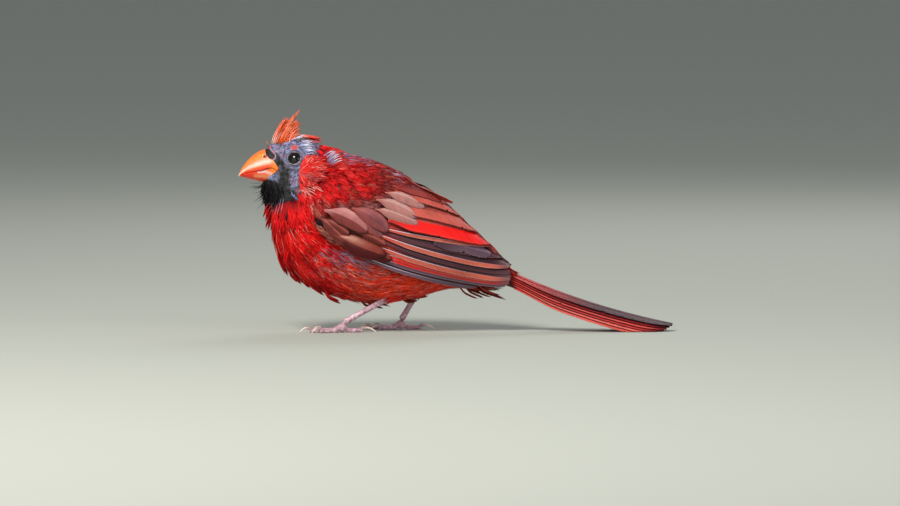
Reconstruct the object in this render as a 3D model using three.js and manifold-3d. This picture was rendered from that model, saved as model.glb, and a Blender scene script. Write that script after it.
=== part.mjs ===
// A male northern cardinal in moult, standing with its tail laid on the ground.
// Millimetres, +Z up. The bird faces -X, and its left side is towards -Y.
import * as THREE from "three";
import { mergeVertices } from "three/addons/utils/BufferGeometryUtils.js";
import Module from "manifold-3d";

const wasm = await Module();
wasm.setup();

// Driving dimensions
const GAP = 0.3;
const LEFT = -1;
const RIGHT = 1;
const SECTION_POWER = 2.2;
const BODY_RINGS = 30;
const BODY_SIDES = 22;
// The hollow that the body leaves in what lies against it has fewer faces
const HOLLOW = { rings: 18, sides: 18, grow: 0.65 };

// Sections through head, neck and torso: back and belly point as [x, z], and half width.
const BODY_SECTIONS = [
  { back: [-50.4, 85.0], belly: [-51.2, 69.0], half: 2.0 },
  { back: [-46.8, 88.2], belly: [-50.2, 65.4], half: 4.7 },
  { back: [-40.0, 89.6], belly: [-49.2, 62.3], half: 7.0 },
  { back: [-31.5, 90.0], belly: [-48.0, 59.0], half: 9.7 },
  { back: [-24.5, 88.6], belly: [-47.4, 54.5], half: 11.0 },
  { back: [-18.5, 85.6], belly: [-47.0, 49.5], half: 13.0 },
  { back: [-10.0, 83.0], belly: [-46.0, 42.0], half: 16.6 },
  { back: [1.0, 79.8], belly: [-41.0, 32.0], half: 19.8 },
  { back: [14.0, 73.8], belly: [-29.0, 21.5], half: 21.4 },
  { back: [26.5, 64.0], belly: [-13.0, 15.6], half: 20.8 },
  { back: [38.0, 53.0], belly: [4.0, 13.4], half: 18.2 },
  { back: [48.0, 43.5], belly: [21.0, 16.0], half: 14.0 },
  { back: [57.0, 35.5], belly: [38.0, 20.4], half: 9.4 },
  { back: [66.0, 28.6], belly: [56.0, 18.6], half: 5.6 },
  { back: [73.0, 25.0], belly: [68.0, 18.4], half: 4.2 },
];
// Where the body is parted, as a share of the way along its sections
const NECK_FRONT = 4.3 / 14;
const NECK_REAR = 6.2 / 14;
const RUMP_FRONT = 11.2 / 14;
const BODY_END = 12.9 / 14;

// Bill sections: ridge and underside point as [x, z], and half width
const BILL_SECTIONS = [
  { back: [-62.6, 73.5], belly: [-62.7, 72.9], half: 0.35 },
  { back: [-60.9, 77.0], belly: [-60.6, 72.4], half: 1.9 },
  { back: [-57.6, 81.1], belly: [-57.0, 71.5], half: 3.5 },
  { back: [-53.4, 84.4], belly: [-52.0, 70.3], half: 5.1 },
  { back: [-48.8, 86.0], belly: [-46.8, 69.5], half: 6.4 },
  { back: [-45.6, 85.6], belly: [-42.6, 69.1], half: 7.1 },
  { back: [-42.8, 84.0], belly: [-40.0, 71.2], half: 6.4 },
];
// The line of the mouth, from in front of the tip to inside the head
const MOUTH_LINE = [
  [-66.0, 72.6],
  [-62.6, 73.2],
  [-58.9, 74.7],
  [-55.0, 75.4],
  [-51.9, 75.7],
  [-49.3, 76.6],
  [-46.4, 76.9],
  [-44.1, 75.4],
  [-42.4, 73.3],
  [-36.0, 70.0],
];
const BILL_RINGS = 12;
const BILL_SIDES = 16;
const NOSTRIL = { x: -50.2, z: 82.4, long: 1.3, deep: 1, high: 0.9, turn: -0.5 };

const EYE = { x: -36.3, z: 81.7, radius: 4.2, proud: 1.2, detail: [12, 8] };
const LID = { ring: 3.2, tube: 0.6, lift: 0.25, sides: 5, steps: 14 };

const material = (color, roughness, metalness = 0) =>
  new THREE.MeshStandardMaterial({ color, roughness, metalness });
const RED = material(0xc4161a, 0.7);
const DEEP_RED = material(0x9c1a1c, 0.7);
const WING_RED = material(0x8e4038, 0.65);
const CREST_RED = material(0xe04a2a, 0.7);
const SKIN = material(0x4a4d63, 0.75);
const BILL_ORANGE = material(0xf0602a, 0.35);
const BLACK = material(0x0b0a0c, 0.08);
const LEG_PINK = material(0xb98a90, 0.55);
const CLAW_HORN = material(0xd8c3b8, 0.4);

const lerp = THREE.MathUtils.lerp;
const smooth = (x) => THREE.MathUtils.smoothstep(x, 0, 1);
// How far a feather with this much bow stands off its chord
const arc = (bow, u) => bow * 4 * u * (1 - u);

// Solids

function solid(positions, triangles) {
  const make = (tris) =>
    new wasm.Manifold(
      new wasm.Mesh({
        numProp: 3,
        vertProperties: new Float32Array(positions),
        triVerts: new Uint32Array(tris),
      }),
    );
  const made = make(triangles);
  if (made.volume() >= 0) return made;
  const turned = [];
  for (let i = 0; i < triangles.length; i += 3)
    turned.push(triangles[i], triangles[i + 2], triangles[i + 1]);
  return make(turned);
}

function solidOfGeometry(geometry) {
  const plain = geometry.clone();
  plain.deleteAttribute("normal");
  plain.deleteAttribute("uv");
  const merged = mergeVertices(plain, 1e-4);
  return solid(
    Array.from(merged.attributes.position.array),
    Array.from(merged.index.array),
  );
}

// A closed body through a row of rings with the same number of points, with a fan at each end
function loft(rings) {
  const sides = rings[0].length;
  const positions = [];
  const triangles = [];
  for (const ring of rings)
    for (const p of ring) positions.push(p.x, p.y, p.z);
  for (let i = 0; i + 1 < rings.length; i++)
    for (let j = 0; j < sides; j++) {
      const next = (j + 1) % sides;
      const a = i * sides + j;
      const b = i * sides + next;
      const c = (i + 1) * sides + next;
      const d = (i + 1) * sides + j;
      triangles.push(a, b, c, a, c, d);
    }
  const cap = (row, turned) => {
    const middle = new THREE.Vector3();
    for (const p of rings[row]) middle.addScaledVector(p, 1 / sides);
    const at = positions.length / 3;
    positions.push(middle.x, middle.y, middle.z);
    for (let j = 0; j < sides; j++) {
      const a = row * sides + j;
      const b = row * sides + ((j + 1) % sides);
      if (turned) triangles.push(at, b, a);
      else triangles.push(at, a, b);
    }
  };
  cap(0, true);
  cap(rings.length - 1, false);
  return solid(positions, triangles);
}

// A thin plate from place(u, v, h): u runs root to tip, v edge to edge, h is the height in it
function vane(place, rows, thick, tipShare = 0.5, columns = 2) {
  const positions = [];
  const triangles = [];
  const at = (face, i, j) => face * (rows + 1) * columns + i * columns + j;
  for (const face of [1, -1])
    for (let i = 0; i <= rows; i++)
      for (let j = 0; j < columns; j++) {
        const u = i / rows;
        const half = 0.5 * thick * lerp(1, tipShare, u);
        const v = (2 * j) / (columns - 1) - 1;
        const p = place(u, v, face * half);
        positions.push(p.x, p.y, p.z);
      }
  const quad = (a, b, c, d) => triangles.push(a, b, c, a, c, d);
  for (let i = 0; i < rows; i++) {
    for (let j = 0; j + 1 < columns; j++) {
      quad(at(0, i, j), at(0, i + 1, j), at(0, i + 1, j + 1), at(0, i, j + 1));
      triangles.push(at(1, i, j), at(1, i + 1, j + 1), at(1, i + 1, j));
      triangles.push(at(1, i, j), at(1, i, j + 1), at(1, i + 1, j + 1));
    }
    quad(at(0, i + 1, 0), at(0, i, 0), at(1, i, 0), at(1, i + 1, 0));
    const n = columns - 1;
    quad(at(0, i, n), at(0, i + 1, n), at(1, i + 1, n), at(1, i, n));
  }
  for (let j = 0; j + 1 < columns; j++) {
    quad(at(0, 0, j), at(0, 0, j + 1), at(1, 0, j + 1), at(1, 0, j));
    quad(at(0, rows, j + 1), at(0, rows, j), at(1, rows, j), at(1, rows, j + 1));
  }
  return solid(positions, triangles);
}

// A tapering round limb along points, with a radius at each point
function limb(points, radii, sides = 10, steps = 4) {
  const path = new THREE.CatmullRomCurve3(points, false, "catmullrom", 0.5);
  const count = (points.length - 1) * steps;
  const rings = [];
  for (let i = 0; i <= count; i++) {
    const t = i / count;
    const centre = path.getPoint(t);
    const ahead = path.getTangent(t);
    const across = new THREE.Vector3(0, 0, 1).cross(ahead);
    if (across.length() < 0.05) across.set(0, 1, 0);
    across.normalize();
    const up = ahead.clone().cross(across).normalize();
    const k = Math.min(Math.floor(t * (radii.length - 1)), radii.length - 2);
    const radius = lerp(radii[k], radii[k + 1], t * (radii.length - 1) - k);
    rings.push(
      Array.from({ length: sides }, (_, j) => {
        const a = (j / sides) * 2 * Math.PI;
        return centre
          .clone()
          .addScaledVector(across, radius * Math.cos(a))
          .addScaledVector(up, radius * Math.sin(a));
      }),
    );
  }
  return loft(rings);
}

function ball(centre, radii, turn, detail) {
  const g = new THREE.SphereGeometry(1, detail[0], detail[1]);
  g.scale(radii.x, radii.y, radii.z);
  g.rotateY(turn);
  g.translate(centre.x, centre.y, centre.z);
  return solidOfGeometry(g);
}

// The half of space ahead of a plane, as a large box
function halfSpace(point, normal) {
  const size = 500;
  const g = new THREE.BoxGeometry(size, size, size);
  g.translate(0, 0, size / 2);
  const turn = new THREE.Quaternion().setFromUnitVectors(
    new THREE.Vector3(0, 0, 1),
    normal.clone().normalize(),
  );
  g.applyQuaternion(turn);
  g.translate(point.x, point.y, point.z);
  return solidOfGeometry(g);
}

const join = (pieces) => wasm.Manifold.union(pieces);

function largest(made) {
  return made
    .decompose()
    .reduce((best, next) => (next.volume() > best.volume() ? next : best));
}

function meshOf(name, made, finish) {
  const { vertProperties, triVerts, numProp } = largest(made).getMesh();
  const g = new THREE.BufferGeometry();
  const positions = new Float32Array((vertProperties.length / numProp) * 3);
  for (let i = 0; i < positions.length / 3; i++)
    for (let k = 0; k < 3; k++)
      positions[i * 3 + k] = vertProperties[i * numProp + k];
  g.setAttribute("position", new THREE.BufferAttribute(positions, 3));
  g.setIndex(new THREE.BufferAttribute(new Uint32Array(triVerts), 1));
  const mesh = new THREE.Mesh(g, finish);
  mesh.name = name;
  return mesh;
}

// A form given by sections in the middle plane

class Form {
  constructor(sections) {
    const line = (pick) =>
      new THREE.CatmullRomCurve3(
        sections.map((s) => new THREE.Vector3(...pick(s))),
        false,
        "catmullrom",
        0.5,
      );
    this.backLine = line((s) => [s.back[0], 0, s.back[1]]);
    this.bellyLine = line((s) => [s.belly[0], 0, s.belly[1]]);
    this.halfLine = line((s) => [s.half, 0, 0]);
  }

  section(t, grow = 0) {
    const back = this.backLine.getPoint(t);
    const belly = this.bellyLine.getPoint(t);
    const out = back.clone().sub(belly).normalize();
    back.addScaledVector(out, grow);
    belly.addScaledVector(out, -grow);
    const middle = back.clone().add(belly).multiplyScalar(0.5);
    return { back, belly, middle, half: this.halfLine.getPoint(t).x + grow };
  }

  point(t, angle, grow = 0) {
    const { back, middle, half } = this.section(t, grow);
    const rounded = (v) => Math.sign(v) * Math.abs(v) ** (2 / SECTION_POWER);
    const up = back.sub(middle).multiplyScalar(rounded(Math.cos(angle)));
    return middle.add(up).setY(half * rounded(Math.sin(angle)));
  }

  solid(from, to, rings, sides, grow = 0) {
    const rows = [];
    for (let i = 0; i <= rings; i++) {
      const t = lerp(from, to, i / rings);
      rows.push(
        Array.from({ length: sides }, (_, j) =>
          this.point(t, (j / sides) * 2 * Math.PI, grow),
        ),
      );
    }
    return loft(rows);
  }

  // The section that passes through a point of the middle plane
  share(x, z) {
    const side = (t) => {
      const { back, belly } = this.section(t);
      return (
        (belly.x - back.x) * (z - back.z) - (belly.z - back.z) * (x - back.x)
      );
    };
    let low = 0;
    let high = 1;
    const start = Math.sign(side(low));
    for (let i = 0; i < 30; i++) {
      const mid = (low + high) / 2;
      if (Math.sign(side(mid)) === start) low = mid;
      else high = mid;
    }
    return low;
  }

  // How far out the surface stands at a point of the side view
  halfAt(x, z) {
    const { back, middle, half } = this.section(this.share(x, z));
    const reach = back.distanceTo(middle);
    const away = Math.hypot(x - middle.x, z - middle.z) / reach;
    return (
      half *
      Math.max(1 - Math.min(away, 1) ** SECTION_POWER, 0) ** (1 / SECTION_POWER)
    );
  }

  // A point h above the surface, at x and z of the side view
  sidePoint(x, z, h, side) {
    const step = 0.5;
    const slope = (dx, dz) => {
      const rise =
        this.halfAt(x + dx, z + dz) - this.halfAt(x - dx, z - dz);
      return THREE.MathUtils.clamp(rise / (2 * step), -2.5, 2.5);
    };
    const normal = new THREE.Vector3(
      -slope(step, 0),
      1,
      -slope(0, step),
    ).normalize();
    const p = new THREE.Vector3(x, this.halfAt(x, z), z);
    p.addScaledVector(normal, h);
    p.y *= side;
    return p;
  }

  normalAt(x, z, side) {
    return this.sidePoint(x, z, 1, side)
      .sub(this.sidePoint(x, z, 0, side))
      .normalize();
  }
}

const body = new Form(BODY_SECTIONS);
const bill = new Form(BILL_SECTIONS);
const bodyWhole = body.solid(0, BODY_END, BODY_RINGS, BODY_SIDES);
const { rings, sides, grow } = HOLLOW;
const bodyClear = body.solid(0, BODY_END + 0.004, rings, sides, grow);

function cutAt(t, ahead, gap = GAP) {
  const { back, belly, middle } = body.section(t);
  const along = back.clone().sub(belly);
  const normal = new THREE.Vector3(along.z, 0, -along.x).normalize();
  if (!ahead) normal.negate();
  const inset = middle.clone().addScaledVector(normal, gap / 2);
  return halfSpace(inset, normal);
}

// Eyes and lids

const eyeAxis = (side) => body.normalAt(EYE.x, EYE.z, side);

function eyeCentre(side) {
  const surface = body.sidePoint(EYE.x, EYE.z, 0, side);
  return surface.addScaledVector(eyeAxis(side), EYE.proud - EYE.radius);
}

function eyeBall(side, grow = 0) {
  const r = EYE.radius + grow;
  return ball(eyeCentre(side), { x: r, y: r, z: r }, 0, EYE.detail);
}

function lidRing(side) {
  const g = new THREE.TorusGeometry(LID.ring, LID.tube, LID.sides, LID.steps);
  const axis = eyeAxis(side);
  g.applyQuaternion(
    new THREE.Quaternion().setFromUnitVectors(new THREE.Vector3(0, 0, 1), axis),
  );
  const p = body.sidePoint(EYE.x, EYE.z, LID.lift, side);
  g.translate(p.x, p.y, p.z);
  return solidOfGeometry(g);
}

// Bill, parted along the line of the mouth

function mouthBlock(shift) {
  const outline = MOUTH_LINE.map(([x, z]) => new THREE.Vector2(x, z + shift));
  const depth = 40;
  const drop = 30;
  const first = outline[0];
  const last = outline[outline.length - 1];
  const shape = new THREE.Shape([
    ...outline,
    new THREE.Vector2(last.x, last.y - drop),
    new THREE.Vector2(first.x, first.y - drop),
  ]);
  const g = new THREE.ExtrudeGeometry(shape, { depth, bevelEnabled: false });
  g.rotateX(Math.PI / 2);
  g.translate(0, depth / 2, 0);
  return solidOfGeometry(g);
}

const billWhole = bill.solid(0, 1, BILL_RINGS, BILL_SIDES);
const billClear = bill.solid(0, 1, BILL_RINGS, BILL_SIDES, GAP);

function nostril(side) {
  const { x, z, long, deep, high, turn } = NOSTRIL;
  return ball(bill.sidePoint(x, z, 0, side), { x: long, y: deep, z: high }, turn, [8, 6]);
}

function billUpper() {
  return billWhole
    .subtract(mouthBlock(GAP / 2))
    .subtract(nostril(LEFT))
    .subtract(nostril(RIGHT));
}

const billLower = () => billWhole.intersect(mouthBlock(-GAP / 2));

// Loose feathers that stand off the outline, as root and tip in the side view.
// Each is sunk at the root, lies flat against the body and tapers to its tip.
const LOOSE = { thick: 0.9, sink: 1.8, rows: 4, taper: 0.85 };
const THROAT_FEATHERS = [
  { root: [-46.6, 60.5], tip: [-50.2, 47.2], y: -1.5, width: 3.6, bow: 0.4 },
  { root: [-45.8, 59.0], tip: [-48.0, 46.6], y: 3.2, width: 3.4, bow: 0.4 },
];
const BREAST_FEATHERS = [
  { root: [-44.8, 42.5], tip: [-38.6, 25.4], y: -1.0, width: 4.6, bow: -1.6 },
  { root: [-42.5, 40.0], tip: [-37.0, 26.5], y: 5.0, width: 4.4, bow: -0.8 },
  { root: [-41.0, 36.5], tip: [-34.2, 23.2], y: -6.5, width: 4.4, bow: -0.8 },
  { root: [-38.5, 31.0], tip: [-28.6, 19.6], y: 0.5, width: 4.8, bow: -0.9 },
  { root: [-32.0, 25.5], tip: [-20.9, 16.6], y: -3.5, width: 4.6, bow: -0.7 },
  { root: [-30.0, 25.0], tip: [-19.0, 17.0], y: 4.6, width: 4.6, bow: -0.6 },
  { root: [-22.0, 19.8], tip: [-10.0, 14.0], y: 0.0, width: 4.8, bow: -0.5 },
];
const VENT_FEATHERS = [
  { root: [-6.0, 15.4], tip: [10.0, 11.6], y: 1.0, width: 4.4, bow: -0.2 },
  { root: [12.0, 15.6], tip: [28.4, 16.6], y: -1.5, width: 4.4, bow: -0.8 },
];
const UNDERTAIL_FEATHERS = [
  { root: [40.0, 22.4], tip: [53.6, 16.4], y: -1.2, width: 4.4, bow: -0.4 },
  { root: [47.0, 21.0], tip: [63.8, 14.6], y: 0.8, width: 4.2, bow: -0.6 },
];

function looseFeather({ root, tip, y, width, bow }) {
  const start = new THREE.Vector2(...root);
  const ahead = new THREE.Vector2(...tip).sub(start);
  const length = ahead.length();
  ahead.normalize();
  const place = (u, v, h) => {
    const arch = arc(bow, u) + LOOSE.sink * (1 - smooth(u * 2.5)) + h;
    return new THREE.Vector3(
      start.x + ahead.x * u * length - ahead.y * arch,
      y + 0.5 * width * v * (1 - LOOSE.taper * u ** 1.5),
      start.y + ahead.y * u * length + ahead.x * arch,
    );
  };
  return vane(place, LOOSE.rows, LOOSE.thick);
}

function headSolid() {
  const core = bodyWhole.intersect(cutAt(NECK_FRONT, false));
  const neckClear = bodyClear.intersect(cutAt(NECK_FRONT, true, -GAP));
  const throat = join(THROAT_FEATHERS.map(looseFeather)).subtract(neckClear);
  return join([core, throat, lidRing(LEFT), lidRing(RIGHT)])
    .subtract(eyeBall(LEFT, GAP))
    .subtract(eyeBall(RIGHT, GAP))
    .subtract(billClear);
}

function neckSolid() {
  return bodyWhole
    .intersect(cutAt(NECK_FRONT, true))
    .intersect(cutAt(NECK_REAR, false));
}

function torsoSolid() {
  const core = bodyWhole
    .intersect(cutAt(NECK_REAR, true))
    .intersect(cutAt(RUMP_FRONT, false));
  const clearOfLegs = Object.values(LEGS).map((leg) => shank(leg, GAP));
  const loose = join([...BREAST_FEATHERS, ...VENT_FEATHERS].map(looseFeather))
    .intersect(cutAt(NECK_REAR, true))
    .subtract(join(clearOfLegs));
  return core.add(loose);
}

function rumpSolid() {
  const core = bodyWhole.intersect(cutAt(RUMP_FRONT, true));
  return join([core, ...UNDERTAIL_FEATHERS.map(looseFeather)]);
}

// Wings, folded on the flanks: feathers lie on a shell a little outside the body

const WING_LIFT = 1.8;
const WING_LEAST_HALF = 8.6;
const SHINGLE = 0.33;
const shell = new Form(
  BODY_SECTIONS.map(({ back, belly, half }) => ({
    back: [back[0] + 0.8, back[1] + 1.4],
    belly: [belly[0], belly[1] - 1.0],
    half: Math.max(half + WING_LIFT, WING_LEAST_HALF),
  })),
);

// Tiers of the wing, each from its outermost feather to its innermost.
// root, tip: [x, z] in the side view. height: over the shell. sag: how far the feather bows.
const WING_TIERS = [
  // Primaries
  {
    count: 6,
    root: [[-4, 37.5], [4, 44]],
    tip: [[64.5, 21], [63, 34.5]],
    width: 7,
    height: [0, 0.2],
    thick: 0.5,
    rows: 4,
    sag: -2.0,
    short: 15,
  },
  // Secondaries
  {
    count: 4,
    root: [[2, 48.5], [12, 54]],
    tip: [[62, 35.5], [59.5, 40]],
    width: 7.5,
    height: [0.3, 0.5],
    thick: 0.5,
    rows: 4,
    sag: -1.0,
    short: 0,
  },
  // Tertials
  {
    count: 3,
    root: [[12, 58], [14, 65]],
    tip: [[58, 41.5], [45, 50.5]],
    width: 8.5,
    height: [0.7, 0.9],
    thick: 0.5,
    rows: 4,
    sag: 1.0,
    short: 0,
  },
  // Primary coverts
  {
    count: 3,
    root: [[-17, 43], [-10, 48]],
    tip: [[4, 34.5], [8, 41]],
    width: 7,
    height: [1.3, 1.3],
    thick: 0.6,
    rows: 3,
    sag: -0.5,
    short: 0,
  },
  // Greater coverts
  {
    count: 5,
    root: [[-18, 54], [3, 65]],
    tip: [[-1, 46.5], [23, 52]],
    width: 7.4,
    height: [1.4, 1.5],
    thick: 0.6,
    rows: 3,
    sag: 1.2,
    short: 0,
  },
  // Median coverts
  {
    count: 4,
    root: [[-22, 58], [-2, 71]],
    tip: [[-10, 53.5], [13, 62]],
    width: 7.0,
    height: [1.9, 1.9],
    thick: 0.6,
    rows: 3,
    sag: 1.0,
    short: 0,
  },
  // Scapulars
  {
    count: 3,
    root: [[2, 72], [6, 76]],
    tip: [[24, 61], [28, 65.5]],
    width: 8,
    height: [1.6, 1.6],
    thick: 0.6,
    rows: 3,
    sag: 1.5,
    short: 0,
  },
];

// Half a feather's outline: narrow at the root, then even, then round at the tip
const OUTLINE = { root: 0.5, widest: 0.35, round: 0.72, end: 1.01 };
const vaneOutline = (u) => {
  const { root, widest, round, end } = OUTLINE;
  const swell = lerp(root, 1, smooth(u / widest));
  const past = Math.max((u - round) / (end - round), 0);
  return swell * Math.sqrt(Math.max(1 - past ** 2, 0.02));
};

function wingVane(tier, k, side) {
  const share = tier.count > 1 ? k / (tier.count - 1) : 0;
  const root = [0, 1].map((i) => lerp(tier.root[0][i], tier.root[1][i], share));
  const tip = [0, 1].map((i) => lerp(tier.tip[0][i], tier.tip[1][i], share));
  if (k === 0) tip[0] -= tier.short;
  const height = lerp(tier.height[0], tier.height[1], share);
  const ahead = new THREE.Vector2(tip[0] - root[0], tip[1] - root[1]);
  const length = ahead.length();
  ahead.normalize();
  const place = (u, v, h) => {
    const bow = arc(tier.sag, u);
    const wide = 0.5 * tier.width * vaneOutline(u) * v;
    const x = root[0] + ahead.x * u * length - ahead.y * (bow + wide);
    const z = root[1] + ahead.y * u * length + ahead.x * (bow + wide);
    // the lower edge of each vane stands over the one below it
    const shingle = -SHINGLE * wide;
    return shell.sidePoint(x, z, height + shingle + h, side);
  };
  return vane(place, tier.rows, tier.thick);
}

// The arm under the coverts: the shell's own surface, down to the flank
const ARM = {
  lower: [[-26, 55], [-16, 42], [2, 35], [22, 27]],
  upper: [[-24, 62], [-10, 74], [10, 71], [34, 54]],
  rows: 7,
  columns: 4,
  depth: 5,
  edge: -1.2,
  crown: 1.6,
  fade: 0.6,
};

function armSolid(side) {
  const curve = (points) =>
    new THREE.SplineCurve(points.map(([x, z]) => new THREE.Vector2(x, z)));
  const lower = curve(ARM.lower);
  const upper = curve(ARM.upper);
  const positions = [];
  const triangles = [];
  const columns = ARM.columns + 1;
  const count = (ARM.rows + 1) * columns;
  for (const outer of [true, false])
    for (let i = 0; i <= ARM.rows; i++)
      for (let j = 0; j < columns; j++) {
        const u = i / ARM.rows;
        const v = j / ARM.columns;
        const flat = lower.getPoint(u).lerp(upper.getPoint(u), v);
        const rim = Math.sqrt(Math.max(4 * v * (1 - v), 0)) * smooth(u * 4 + 0.15);
        const swell = lerp(ARM.edge, ARM.crown, rim * (1 - ARM.fade * u));
        const height = outer ? swell : -ARM.depth;
        const p = shell.sidePoint(flat.x, flat.y, height, side);
        positions.push(p.x, p.y, p.z);
      }
  const at = (outer, i, j) => (outer ? 0 : count) + i * columns + j;
  const quad = (a, b, c, d) => triangles.push(a, b, c, a, c, d);
  for (let i = 0; i < ARM.rows; i++) {
    for (let j = 0; j < ARM.columns; j++) {
      quad(at(true, i, j), at(true, i + 1, j), at(true, i + 1, j + 1), at(true, i, j + 1));
      triangles.push(at(false, i, j), at(false, i + 1, j + 1), at(false, i + 1, j));
      triangles.push(at(false, i, j), at(false, i, j + 1), at(false, i + 1, j + 1));
    }
    quad(at(true, i + 1, 0), at(true, i, 0), at(false, i, 0), at(false, i + 1, 0));
    const n = ARM.columns;
    quad(at(true, i, n), at(true, i + 1, n), at(false, i + 1, n), at(false, i, n));
  }
  for (let j = 0; j < ARM.columns; j++) {
    quad(at(true, 0, j), at(true, 0, j + 1), at(false, 0, j + 1), at(false, 0, j));
    const m = ARM.rows;
    quad(at(true, m, j + 1), at(true, m, j), at(false, m, j), at(false, m, j + 1));
  }
  return solid(positions, triangles);
}

// One scapular of the left wing stands off the back
const STRAY_FEATHER = { root: [13, 71.4], tip: [38, 60.8], y: -8.5, width: 6, bow: 0.3 };

function wingSolid(side) {
  const vanes = WING_TIERS.flatMap((tier) =>
    Array.from({ length: tier.count }, (_, k) => wingVane(tier, k, side)),
  );
  if (side === LEFT) vanes.push(looseFeather(STRAY_FEATHER));
  const mine = halfSpace(
    new THREE.Vector3(0, side * GAP, 0),
    new THREE.Vector3(0, side, 0),
  );
  return join([armSolid(side), ...vanes]).intersect(mine).subtract(bodyClear);
}

// Tail: rectrices stacked like a steep roof, the middle pair on top.
// Pairs of values are at the root and at the tip; "each" is added for every pair further out.
const TAIL = {
  root: [50, 35.5],
  length: 97,
  slope: [0.47, 0.19],
  pairs: 6,
  width: 9.5,
  thick: 0.55,
  tipShare: 0.9,
  rows: 5,
  start: 0.16,
  stepIn: 0.012,
  roll: [0.45, 0.35],
  rollEach: 0.09,
  apart: [2.0, 1.5],
  apartEach: [0.35, 0.95],
  drop: 1.0,
  dropEach: [0.78, 0.95],
  slit: 0.2,
};
// The fleshy root that the feathers grow from, as shares of the tail's line
const TAIL_ROOT = { from: 0.12, to: 0.42, wide: 4.2, high: 3.4, below: 4.2, end: 0.35 };

function tailLine(u) {
  const steps = 40;
  let x = TAIL.root[0];
  let z = TAIL.root[1];
  const stride = (TAIL.length * u) / steps;
  for (let i = 0; i < steps; i++) {
    const slope = lerp(...TAIL.slope, (u * (i + 0.5)) / steps);
    x += Math.cos(slope) * stride;
    z -= Math.sin(slope) * stride;
  }
  return { x, z, slope: lerp(...TAIL.slope, u) };
}

// A point at this height over the tail's line, and this far from the middle
function tailPoint(line, rise, y) {
  return new THREE.Vector3(
    line.x + Math.sin(line.slope) * rise,
    y,
    line.z + Math.cos(line.slope) * rise,
  );
}

function rectrix(k, side) {
  const from = TAIL.start + TAIL.stepIn * k;
  const to = 1 - TAIL.stepIn * k;
  const place = (u, v, h) => {
    const line = tailLine(lerp(from, to, u));
    const roll = lerp(...TAIL.roll, u) + TAIL.rollEach * k;
    const apart = lerp(...TAIL.apart, u) + k * lerp(...TAIL.apartEach, u);
    const drop = k * lerp(...TAIL.dropEach, u) + TAIL.drop;
    const outer = 0.5 * TAIL.width * vaneOutline(u);
    const inner = Math.min(outer, (apart - TAIL.slit) / Math.cos(roll));
    const wide = v * (v > 0 ? outer : inner);
    const rise = -drop - wide * Math.sin(roll) + h * Math.cos(roll);
    const out = apart + wide * Math.cos(roll) + h * Math.sin(roll);
    return tailPoint(line, rise, side * out);
  };
  return vane(place, TAIL.rows, TAIL.thick, TAIL.tipShare);
}

function tailRoot() {
  const { from, to, wide, high, below, end } = TAIL_ROOT;
  const steps = 5;
  const sides = 10;
  const rings = [];
  for (let i = 0; i <= steps; i++) {
    const line = tailLine(lerp(from, to, i / steps));
    const grow = lerp(1, end, i / steps);
    rings.push(
      Array.from({ length: sides }, (_, j) => {
        const a = (j / sides) * 2 * Math.PI;
        return tailPoint(line, high * grow * Math.cos(a) - below, wide * grow * Math.sin(a));
      }),
    );
  }
  return loft(rings);
}

const aboveFloor = halfSpace(new THREE.Vector3(0, 0, 0), new THREE.Vector3(0, 0, 1));

function tailSolid() {
  const vanes = [];
  for (let k = 0; k < TAIL.pairs; k++)
    for (const side of [LEFT, RIGHT]) vanes.push(rectrix(k, side));
  return join([tailRoot(), ...vanes]).subtract(bodyClear).intersect(aboveFloor);
}

// Crest: the upright tuft on the forehead, and the shafts that arch over the crown

const CREST_ROOT = { x: -42.4, z: 88.7, long: 4.6, wide: 2.4, high: 1.8, turn: 0.1 };
const CREST_FEATHERS = [
  { from: -1.4, tip: [-39.6, 101.0], y: 0.5, width: 3.0, bow: 0.5 },
  { from: -0.8, tip: [-36.6, 101.8], y: 0.9, width: 3.0, bow: 0.6 },
  { from: -0.2, tip: [-33.4, 104.3], y: -0.4, width: 3.0, bow: 0.7 },
  { from: 0.8, tip: [-32.4, 98.6], y: -1.0, width: 3.4, bow: 0.6 },
  { from: 1.6, tip: [-34.4, 96.4], y: 1.3, width: 3.2, bow: 0.4 },
  { from: 2.4, tip: [-33.8, 93.4], y: -0.2, width: 3.0, bow: 0.3 },
];
const CROWN_FEATHERS = [
  { from: 2, tip: [-24.0, 89.9], y: -2.2, width: 2.6, bow: 2.1 },
  { from: 2, tip: [-22.9, 89.7], y: 0.4, width: 2.8, bow: 2.3 },
  { from: 2, tip: [-24.6, 90.1], y: 2.6, width: 2.6, bow: 2.1 },
];
const CREST_THICK = 0.7;
const CROWN_THICK = 0.6;

// The chord of a crest feather, with its points at a share u and a distance off it
function crestLine({ from, tip }) {
  const root = new THREE.Vector2(CREST_ROOT.x + from, CREST_ROOT.z);
  const end = new THREE.Vector2(...tip);
  const off = new THREE.Vector2(root.y - end.y, end.x - root.x).normalize();
  return (u, away) => root.clone().lerp(end, u).addScaledVector(off, away);
}

// These stand edge on to the side view
function crestFeather(feather) {
  const line = crestLine(feather);
  const place = (u, v, h) => {
    const wide = 0.5 * feather.width * vaneOutline(u) * (1 - 0.45 * u) * v;
    const p = line(u, arc(feather.bow, u) + wide);
    return new THREE.Vector3(p.x, feather.y * lerp(0.5, 1.3, u) + h, p.y);
  };
  return vane(place, 4, CREST_THICK);
}

// These lie flat over the crown
function crownFeather(feather) {
  const line = crestLine(feather);
  const place = (u, v, h) => {
    const wide = 0.5 * feather.width * lerp(0.45, 1, smooth(u * 1.5)) * v;
    const p = line(u, arc(feather.bow, u) + h);
    return new THREE.Vector3(p.x, feather.y * smooth(u * 1.4) + wide, p.y);
  };
  return vane(place, 5, CROWN_THICK);
}

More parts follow.
